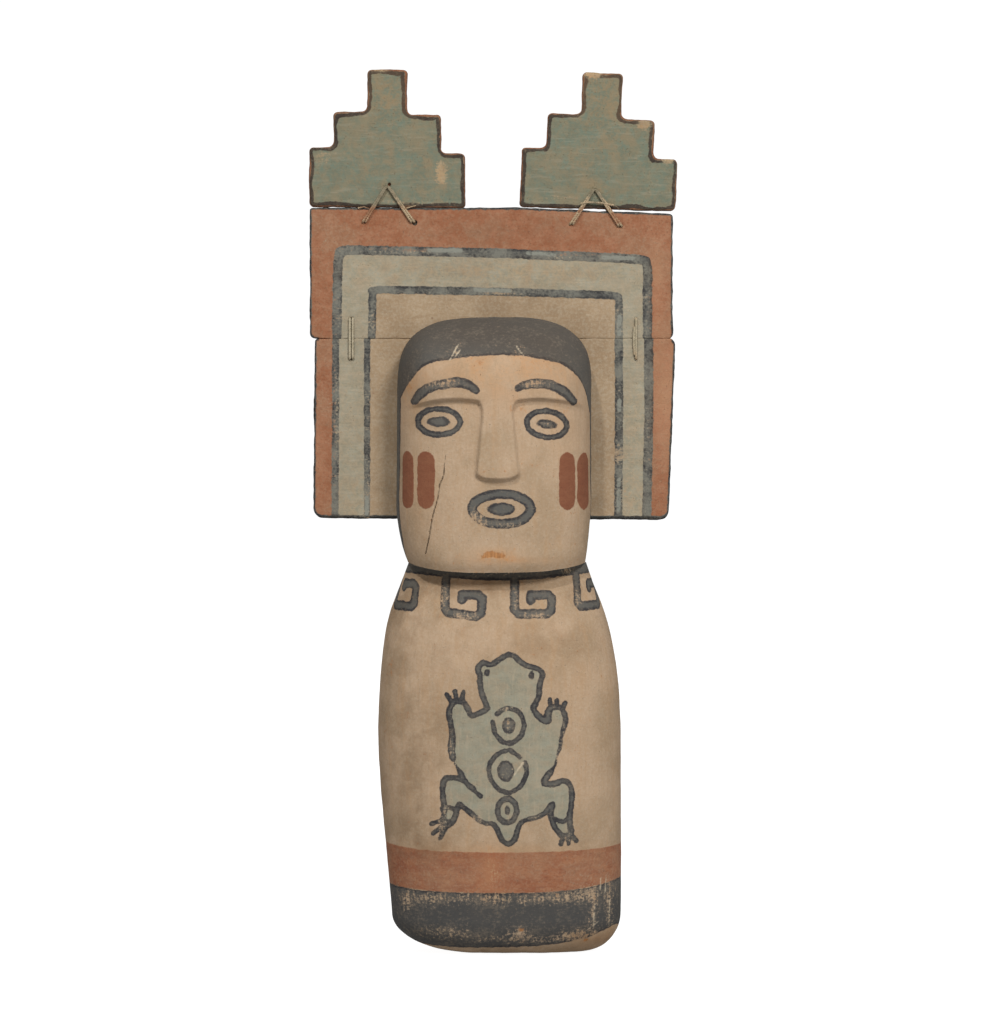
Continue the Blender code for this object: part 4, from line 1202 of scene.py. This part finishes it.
# Loose fibres: node, start, direction, length
LOOSE_FIBRES = (
    ("left_terrace_tie", (-38.4, 7.2, 258.8), (-0.7, -0.5, 0.5), 3.0),
    ("left_terrace_tie", (-30.6, 7.2, 247.6), (0.8, -0.4, -0.5), 2.4),
    ("left_terrace_tie", (-45.8, 7.2, 247.6), (-0.6, -0.4, -0.3), 2.0),
    ("right_terrace_tie", (38.6, 6.8, 251.2), (0.8, -0.3, -0.2), 2.8),
    ("right_terrace_tie", (27.0, 6.8, 251.8), (-0.9, -0.3, 0.2), 2.2),
    ("right_terrace_tie", (32.0, 7.2, 258.0), (0.2, -0.5, 0.8), 2.6),
)
FIBRE_CURL = 0.5
# Where the boards' paint has gone over the cords, as soft spots
COVERED = {
    "left_terrace_tie": (
        (-42.5, 251.0, 6.0, 10.0, 1.0), (-38.0, 259.0, 3.0, 2.5, 0.6), (-34.0, 252.0, 4.0, 6.0, 0.5),
    ),
    "right_terrace_tie": (
        (27.0, 247.0, 5.0, 5.0, 0.62), (32.0, 256.0, 6.0, 5.0, 0.8), (38.0, 246.0, 4.0, 5.0, 0.8),
    ),
    "left_seam_stitch": ((-50.3, 207.0, 6.0, 14.0, 0.9),),
    "right_seam_stitch": ((46.0, 207.0, 4.0, 9.0, 0.7),),
}


def lying(points_mm, above):
    """A line of (x, z) in millimetres that lies on the boards' front, or that far above it."""
    off = CORD_DIAMETER / 2 + above * MM
    return [Vector((x * MM, BOARD_FRONT - off, z * MM)) for x, z in points_mm]


def make_cords(left_tie, right_tie):
    """The lashings and stitches by node."""
    radius = CORD_DIAMETER / 2
    strands = {"left_terrace_tie": tie_strands(left_tie), "right_terrace_tie": tie_strands(right_tie)}
    for side, (x, turns) in zip(("left", "right"), STITCHES):
        rows = [x + (turn - (turns - 1) / 2) * LEG_PITCH for turn in range(turns)]
        low, high = SEAM - STITCH_REACH, SEAM + STITCH_REACH
        strands[side + "_seam_stitch"] = [((row, low), (row, high)) for row in rows]
    made = {node: [tube(endless_path(rows), radius, True)] for node, rows in strands.items()}
    for node, cords in SHORT_CORDS.items():
        for line, above, share, taper in cords:
            made[node].append(tube(lying(line, above), radius * share, False, taper=taper))
    for seed, (node, start, direction, length) in enumerate(LOOSE_FIBRES):
        start = [c * MM for c in start]
        made[node].append(fibre(start, direction, length * MM, FIBRE_CURL, 3.7 * seed))
    pieces = {}
    for node, parts in made.items():
        pieces[node] = mesh_from("twisted_" + node, *joined(parts))
        flat = coordinates(pieces[node])[:, [0, 2]] / MM
        store(pieces[node], "covered", np.clip(soft_spots(flat, COVERED[node]), 0, 1))
    return pieces


# Materials

NOISE_ROUGHNESS = 0.55


def colour(red, green, blue):
    """A colour by its red, green and blue from 0 to 255."""
    return tuple(((c / 255 + 0.055) / 1.055) ** 2.4 for c in (red, green, blue)) + (1,)


class Surface:
    """A material's nodes, made one by one."""

    def __init__(self, name):
        self.material = bpy.data.materials.new(name)
        self.material.use_nodes = True
        self.tree = self.material.node_tree
        self.bsdf = next(n for n in self.tree.nodes if n.type == "BSDF_PRINCIPLED")
        place = self.node("ShaderNodeTexCoord")
        self.mm = self.scaled(place.outputs["Object"], (1000, 1000, 1000))

    def node(self, kind, **settings):
        made = self.tree.nodes.new(kind)
        for key, value in settings.items():
            setattr(made, key, value)
        return made

    def put(self, socket, value):
        if isinstance(value, bpy.types.NodeSocket):
            self.tree.links.new(value, socket)
        else:
            socket.default_value = value

    def scaled(self, vector, scale):
        made = self.node("ShaderNodeVectorMath", operation="MULTIPLY")
        self.put(made.inputs[0], vector)
        self.put(made.inputs[1], scale)
        return made.outputs[0]

    def layer(self, name):
        return self.node("ShaderNodeAttribute", attribute_name=name).outputs["Fac"]

    def noise(self, size, detail=3.0, stretch=(1, 1, 1), distortion=0.0, seed=0.0):
        """Noise from 0 to 1 whose spots are about size millimetres, drawn out by stretch."""
        moved = self.node("ShaderNodeVectorMath", operation="ADD")
        self.put(moved.inputs[0], self.scaled(self.mm, tuple(1 / s for s in stretch)))
        self.put(moved.inputs[1], (seed * 31.7, seed * 17.3, seed * 11.9))
        made = self.node("ShaderNodeTexNoise")
        self.put(made.inputs["Vector"], moved.outputs[0])
        self.put(made.inputs["Scale"], 1 / size)
        self.put(made.inputs["Detail"], detail)
        self.put(made.inputs["Roughness"], NOISE_ROUGHNESS)
        self.put(made.inputs["Distortion"], distortion)
        return made.outputs["Fac"]

    def math(self, operation, a, b):
        made = self.node("ShaderNodeMath", operation=operation)
        self.put(made.inputs[0], a)
        self.put(made.inputs[1], b)
        return made.outputs[0]

    def step(self, value, low, high):
        """0 below low, 1 above high, smooth between."""
        made = self.node("ShaderNodeMapRange", interpolation_type="SMOOTHSTEP")
        self.put(made.inputs["Value"], value)
        self.put(made.inputs["From Min"], low)
        self.put(made.inputs["From Max"], high)
        return made.outputs["Result"]

    def mix(self, share, a, b, blend="MIX"):
        made = self.node("ShaderNodeMix", data_type="RGBA", blend_type=blend)
        self.put(made.inputs["Factor"], share)
        self.put(made.inputs[6], a)
        self.put(made.inputs[7], b)
        return made.outputs[2]

    def times(self, *values):
        product = values[0]
        for value in values[1:]:
            product = self.math("MULTIPLY", product, value)
        return product

    def plus(self, *values):
        total = values[0]
        for value in values[1:]:
            total = self.math("ADD", total, value)
        return total

    def less(self, value):
        return self.math("SUBTRACT", 1.0, value)

    def blend(self, *parts):
        """A sum of (value, weight) pairs."""
        return self.plus(*[self.times(value, weight) for value, weight in parts])

    def swing(self, value, reach):
        """A value from 0 to 1, moved to run from half of reach below 0 to half of it above."""
        return self.times(self.math("SUBTRACT", value, 0.5), reach)

    def finish(self, base, roughness, height, depth):
        """depth is how far the height runs, in metres."""
        bump = self.node("ShaderNodeBump")
        self.put(bump.inputs["Height"], height)
        self.put(bump.inputs["Strength"], 1.0)
        self.put(bump.inputs["Distance"], depth)
        self.put(self.bsdf.inputs["Base Color"], base)
        self.put(self.bsdf.inputs["Roughness"], roughness)
        self.put(self.bsdf.inputs["Specular IOR Level"], 0.22)
        self.put(self.bsdf.inputs["Normal"], bump.outputs["Normal"])
        return self.material


def painted_wood(name, grain, brush, tones, seed, thin_green=0.35, mottled=0.0, cloudy=0.25):
    """Earth paint on wood. grain draws the wood's streaks out and brush the paint's."""
    s = Surface(name)
    broad = s.noise(16, 3, seed=seed)
    patch = s.noise(5, 4, seed=seed + 1, distortion=0.6)
    fine = s.noise(0.9, 3, seed=seed + 2)
    speck = s.noise(0.34, 2, seed=seed + 3)
    streak = s.noise(0.8, 5, stretch=grain, seed=seed + 4, distortion=0.3)
    wide_streak = s.noise(3.2, 3, stretch=grain, seed=seed + 5, distortion=0.4)
    bristle = s.noise(0.55, 4, stretch=brush, seed=seed + 6, distortion=0.25)
    sweep = s.noise(2.4, 3, stretch=brush, seed=seed + 7, distortion=0.3)
    cloud = s.noise(8, 3, seed=seed + 9, distortion=0.5)
    fade = s.layer("fade")

    wood = s.mix(s.step(streak, 0.38, 0.64), tones["wood"], tones["wood_dark"])
    ground = s.mix(s.step(broad, 0.36, 0.66), tones["ground"], tones["ground_dim"])
    ground = s.mix(s.times(s.step(wide_streak, 0.5, 0.7), 0.5), ground, tones["ground_warm"])
    ground = s.mix(s.times(s.step(streak, 0.52, 0.72), 0.55), ground, tones["ground_dim"])
    ground = s.mix(s.times(s.step(fine, 0.38, 0.74), 0.30), ground, tones["ground_light"])
    ground = s.mix(s.times(s.step(s.less(fine), 0.38, 0.74), 0.26), ground, tones["ground_warm"])
    ground = s.mix(s.times(s.step(speck, 0.50, 0.80), 0.22), ground, tones["ground_light"])
    patchy = s.blend((patch, 0.5), (fine, 0.5))
    ground = s.mix(s.times(s.layer("warm"), s.step(patchy, 0.3, 0.7)), ground, tones["warm"])
    flecks = s.step(s.blend((patch, 0.6), (fine, 0.4)), 0.60, 0.68)
    ground = s.mix(s.times(flecks, 0.6), ground, wood)

    waver = s.noise(2.3, 2, seed=seed + 8)
    ragged = s.plus(s.swing(fine, 0.55), s.swing(waver, 0.9))

    def cover(layer_name, softness, thinness):
        """Where a paint lies: its shape with a ragged edge, less the bristles' gaps and what has worn off."""
        edge = s.step(s.plus(s.layer(layer_name), ragged), -softness, softness)
        gaps = s.plus(s.times(bristle, 0.25), s.times(streak, 0.30), s.times(fine, 0.25), s.times(speck, 0.2))
        gaps = s.plus(gaps, s.times(fade, 0.34), thinness)
        return s.times(edge, s.less(s.step(gaps, 0.60, 0.72)))

    green_share = cover("green", 0.35, 0.0)
    green = s.mix(s.step(sweep, 0.35, 0.65), tones["green"], tones["green_dim"])
    green = s.mix(s.times(s.step(fine, 0.36, 0.70), 0.40), green, tones["green_warm"])
    spotted = s.step(s.blend((patch, 0.6), (broad, 0.4)), 0.44, 0.62)
    green = s.mix(s.times(spotted, mottled), green, tones["green_warm"])
    green = s.mix(s.times(s.step(streak, 0.5, 0.75), 0.25), green, tones["ground_light"])
    stained = s.times(s.layer("warm"), s.step(patchy, 0.35, 0.65))
    green = s.mix(stained, green, tones["green_warm"])
    base = s.mix(s.times(green_share, s.less(s.times(s.step(patch, 0.35, 0.75), thin_green))), ground, green)

    red_share = cover("red", 0.22, -0.01)
    red = s.mix(s.step(sweep, 0.34, 0.66), tones["red"], tones["red_light"])
    red = s.mix(s.times(s.step(bristle, 0.5, 0.7), 0.5), red, tones["red_deep"])
    red = s.mix(s.times(s.layer("warm"), 0.7), red, tones["red_warm"])
    red = s.mix(s.times(s.layer("deep"), 0.62), red, tones["red_deep"])
    thin_red = s.times(s.step(s.plus(broad, s.times(patch, 0.4)), 0.62, 0.86), 0.24, s.less(s.layer("deep")))
    red = s.mix(s.times(s.step(fine, 0.42, 0.74), 0.22, s.less(s.layer("deep"))), red, tones["ground"])
    base = s.mix(s.times(red_share, s.less(thin_red)), base, red)

    black_share = cover("black", 0.16, 0.02)
    pooled = s.step(s.plus(s.layer("black"), s.swing(sweep, 1.6), ragged), 0.35, 1.15)
    black = s.mix(pooled, tones["black"], tones["black_mid"])
    light_black = s.times(s.step(s.plus(s.times(cloud, 0.7), s.times(bristle, 0.3)), 0.42, 0.62), cloudy)
    black = s.mix(light_black, black, tones["black_pale"])
    black = s.mix(s.times(s.layer("warm"), 0.8), black, tones["black_warm"])
    black = s.mix(s.layer("deep"), black, tones["black"])
    rubbed = s.blend((fine, 0.4), (bristle, 0.3), (streak, 0.15), (speck, 0.15), (fade, 0.3))
    rubbed = s.plus(rubbed, s.times(s.math("SUBTRACT", patch, 0.5), 0.3))
    black = s.mix(s.times(s.step(rubbed, 0.47, 0.66), 0.55), black, tones["black_worn"])
    base = s.mix(black_share, base, black)

    bare = s.step(s.plus(s.layer("wood"), s.times(s.math("SUBTRACT", patch, 0.5), 5.0), ragged), -0.2, 0.4)
    base = s.mix(s.times(bare, 0.9), base, wood)
    pale_share = s.step(s.plus(s.layer("pale"), s.times(ragged, 0.8)), -0.15, 0.3)
    broken = s.step(s.blend((patch, 0.4), (bristle, 0.3), (fine, 0.3)), 0.34, 0.5)
    pale_share = s.times(pale_share, broken, 0.85)
    base = s.mix(pale_share, base, tones["pale"])
    # Darkening, multiplied in: dirt, and on the figure also painted shade below the chin
    soil_and_shade_patches = s.step(s.blend((patch, 0.5), (broad, 0.5)), 0.3, 0.7)
    base = s.mix(s.times(s.layer("grime"), soil_and_shade_patches, 0.8), base, tones["grime"], "MULTIPLY")
    crack = s.step(s.plus(s.layer("crack"), s.times(s.math("SUBTRACT", fine, 0.5), 0.25)), 0.18, 0.34)
    base = s.mix(s.times(crack, 0.8), base, tones["crack"])
    pits = s.step(s.plus(s.times(speck, 0.75), s.times(fine, 0.25)), 0.64, 0.69)
    base = s.mix(s.times(pits, 0.45), base, tones["crack"])

    height = s.plus(
        s.times(streak, 0.35), s.times(fine, 0.30), s.times(speck, 0.18), s.times(bristle, 0.25),
        s.times(black_share, 0.16), s.times(red_share, 0.12), s.times(pits, -0.5), s.times(crack, -1.2),
        s.times(bare, -0.2),
    )
    rough = s.plus(0.82, s.times(fine, 0.12), s.times(black_share, -0.06))
    return s.finish(base, rough, height, 0.00028)


def palette(**rows):
    """Colours by name, from their red, green and blue."""
    return {name: colour(*row) for name, row in rows.items()}


FIGURE_TONES = palette(
    wood=(190, 134, 84), wood_dark=(158, 110, 70), ground=(188, 162, 135), ground_dim=(168, 144, 117),
    ground_warm=(182, 149, 115), ground_light=(206, 185, 158), green=(154, 152, 135),
    green_dim=(144, 141, 124), green_warm=(170, 158, 134), warm=(196, 144, 96), red=(150, 96, 70),
    red_light=(164, 112, 82), red_deep=(122, 76, 56), red_warm=(176, 118, 84), black=(56, 55, 58),
    black_mid=(96, 95, 91), black_worn=(124, 114, 101), grime=(150, 132, 112), crack=(84, 64, 46),
    black_pale=(116, 110, 101), black_warm=(80, 69, 60), pale=(206, 190, 164),
)
BOARD_TONES = palette(
    wood=(150, 112, 78), wood_dark=(120, 88, 62), ground=(175, 152, 124), ground_dim=(156, 133, 106),
    ground_warm=(165, 138, 108), ground_light=(204, 190, 168), green=(162, 157, 139),
    green_dim=(151, 145, 126), green_warm=(182, 163, 134), warm=(190, 140, 96), red=(150, 98, 70),
    red_light=(162, 112, 84), red_deep=(124, 78, 56), red_warm=(190, 142, 110), black=(60, 60, 61),
    black_mid=(86, 86, 83), black_worn=(134, 130, 118), grime=(140, 124, 106), crack=(60, 47, 36),
    black_pale=(132, 131, 121), black_warm=(100, 82, 64), pale=(144, 145, 135),
)
TERRACE_TONES = palette(
    wood=(170, 118, 80), wood_dark=(140, 98, 68), ground=(176, 154, 120), ground_dim=(150, 130, 102),
    ground_warm=(178, 140, 100), ground_light=(170, 164, 146), green=(113, 124, 109),
    green_dim=(114, 118, 101), green_warm=(141, 126, 99), warm=(190, 140, 96), red=(124, 82, 60),
    red_light=(142, 96, 70), red_deep=(92, 62, 48), red_warm=(140, 92, 66), black=(60, 52, 46),
    black_mid=(76, 66, 56), black_worn=(108, 96, 80), grime=(140, 124, 106), crack=(56, 45, 36),
    black_pale=(96, 88, 74), black_warm=(110, 86, 64), pale=(170, 164, 146),
)


def cord_fibre(name):
    s = Surface(name)
    fine = s.noise(0.35, 3, seed=3)
    patch = s.noise(1.6, 3, seed=4)
    base = s.mix(s.step(fine, 0.35, 0.65), colour(188, 168, 139), colour(158, 137, 108))
    over = s.step(s.plus(s.layer("covered"), s.swing(patch, 1.1), s.swing(fine, 0.5)), 0.42, 0.62)
    height = s.node("ShaderNodeSeparateXYZ")
    s.put(height.inputs[0], s.mm)
    on_board = s.mix(s.step(patch, 0.4, 0.6), colour(158, 116, 88), colour(140, 98, 72))
    on_terrace = s.mix(s.step(patch, 0.4, 0.6), colour(136, 128, 108), colour(120, 112, 92))
    on_band = s.mix(s.step(patch, 0.4, 0.6), colour(186, 176, 152), colour(168, 158, 134))
    paint = s.mix(s.step(height.outputs["Z"], 250.0, 252.0), on_board, on_terrace)
    paint = s.mix(s.step(height.outputs["Z"], 226.0, 228.0), on_band, paint)
    base = s.mix(s.times(over, 0.9), base, paint)
    return s.finish(base, 0.9, fine, 0.00012)


# Stage, light and camera

VIEW_DISTANCE = 1.6
VIEW_ELEVATION = math.radians(2)
VIEW_CENTRE = Vector((0.0, 0.0, 0.150))
VIEW_WIDTH = 0.341
SENSOR_MM = 36.0


def aimed(made, place, at):
    made.location = place
    made.rotation_euler = (Vector(at) - Vector(place)).to_track_quat("-Z", "Y").to_euler()
    bpy.context.scene.collection.objects.link(made)
    return made


def from_front(azimuth, elevation, distance):
    """A place round the doll: azimuth to the right of the viewer, elevation up, in degrees."""
    across, up = math.radians(azimuth), math.radians(elevation)
    return VIEW_CENTRE + distance * Vector(
        (math.sin(across) * math.cos(up), -math.cos(across) * math.cos(up), math.sin(up))
    )


def area_light(name, place, size, watts, tint):
    light = bpy.data.lights.new(name, "AREA")
    light.shape = "DISK"
    light.size = size
    light.energy = watts
    light.color = tint
    return aimed(bpy.data.objects.new(name, light), place, VIEW_CENTRE)


def make_stage():
    floor = bpy.data.meshes.new("floor")
    half = 4.0
    corners = [(-half, -half, 0), (half, -half, 0), (half, half, 0), (-half, half, 0)]
    floor.from_pydata(corners, [], [(0, 1, 2, 3)])
    ground = bpy.data.objects.new("floor", floor)
    ground.location.z = -0.00005
    bpy.context.scene.collection.objects.link(ground)
    surface = bpy.data.materials.new("pale_floor")
    surface.use_nodes = True
    bsdf = next(n for n in surface.node_tree.nodes if n.type == "BSDF_PRINCIPLED")
    bsdf.inputs["Base Color"].default_value = (0.30, 0.30, 0.30, 1)
    bsdf.inputs["Roughness"].default_value = 1.0
    bsdf.inputs["Specular IOR Level"].default_value = 0.0
    bsdf.inputs["Emission Color"].default_value = (1, 1, 1, 1)
    rays = surface.node_tree.nodes.new("ShaderNodeLightPath")
    glow = surface.node_tree.nodes.new("ShaderNodeMapRange")
    glow.inputs["To Min"].default_value = FLOOR_BOUNCE
    glow.inputs["To Max"].default_value = 0.96
    surface.node_tree.links.new(rays.outputs["Is Camera Ray"], glow.inputs["Value"])
    surface.node_tree.links.new(glow.outputs["Result"], bsdf.inputs["Emission Strength"])
    floor.materials.append(surface)

    world = bpy.data.worlds.new("studio")
    world.use_nodes = True
    bpy.context.scene.world = world
    nodes, links = world.node_tree.nodes, world.node_tree.links
    background = next(n for n in nodes if n.type == "BACKGROUND")
    rays = nodes.new("ShaderNodeLightPath")
    strength = nodes.new("ShaderNodeMapRange")
    strength.inputs["To Min"].default_value = AMBIENT
    strength.inputs["To Max"].default_value = 1.05
    links.new(rays.outputs["Is Camera Ray"], strength.inputs["Value"])
    links.new(strength.outputs["Result"], background.inputs["Strength"])
    background.inputs["Color"].default_value = (1, 1, 1, 1)

    for name, azimuth, elevation, distance, size, watts, tint in LIGHTS:
        area_light(name, from_front(azimuth, elevation, distance), size, watts, tint)

    camera = bpy.data.cameras.new("camera")
    camera.sensor_width = SENSOR_MM
    camera.lens = SENSOR_MM * VIEW_DISTANCE / VIEW_WIDTH
    camera.clip_start, camera.clip_end = 0.05, 20
    elevation = math.degrees(VIEW_ELEVATION)
    view = aimed(bpy.data.objects.new("camera", camera), from_front(0, elevation, VIEW_DISTANCE), VIEW_CENTRE)
    scene = bpy.context.scene
    scene.camera = view
    scene.view_settings.view_transform = "Standard"
    scene.view_settings.look = "None"


AMBIENT = 0.27
FLOOR_BOUNCE = 0.18
LIGHTS = (
    ("key", -16, 47, 1.5, 0.08, 6.9, (1.0, 0.985, 0.96)),
    ("soft_right", 20, 34, 1.5, 0.34, 11.8, (1.0, 0.985, 0.96)),
    ("behind", 188, 38, 1.8, 0.90, 13.0, (1.0, 0.985, 0.96)),
)


def main():
    make_stage()
    figure = make_figure()
    boards, left_tie, right_tie = make_boards()
    cords = make_cords(left_tie, right_tie)

    upright, level = (1, 1, 9), (9, 1, 1)
    finishes = {
        "painted_figure": painted_wood("painted_figure", upright, (2.5, 2.5, 1), FIGURE_TONES, 1.0),
        "painted_boards": painted_wood("painted_boards", level, (1.6, 1, 1.4), BOARD_TONES, 4.0, cloudy=0.8),
        "painted_terraces": painted_wood(
            "painted_terraces", level, (1.3, 1, 1.2), TERRACE_TONES, 7.0, thin_green=0.12, mottled=0.5
        ),
        "cord": cord_fibre("cord"),
    }
    for node, piece in {"figure": figure, **boards, **cords}.items():
        if node == "figure":
            slot = "painted_figure"
        elif node.startswith("tableta"):
            slot = "painted_boards"
        elif node.endswith("terrace"):
            slot = "painted_terraces"
        else:
            slot = "cord"
        piece.data.materials.append(finishes[slot])
        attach(piece, "root")
        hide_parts(node)


main()
bpy.context.view_layer.update()
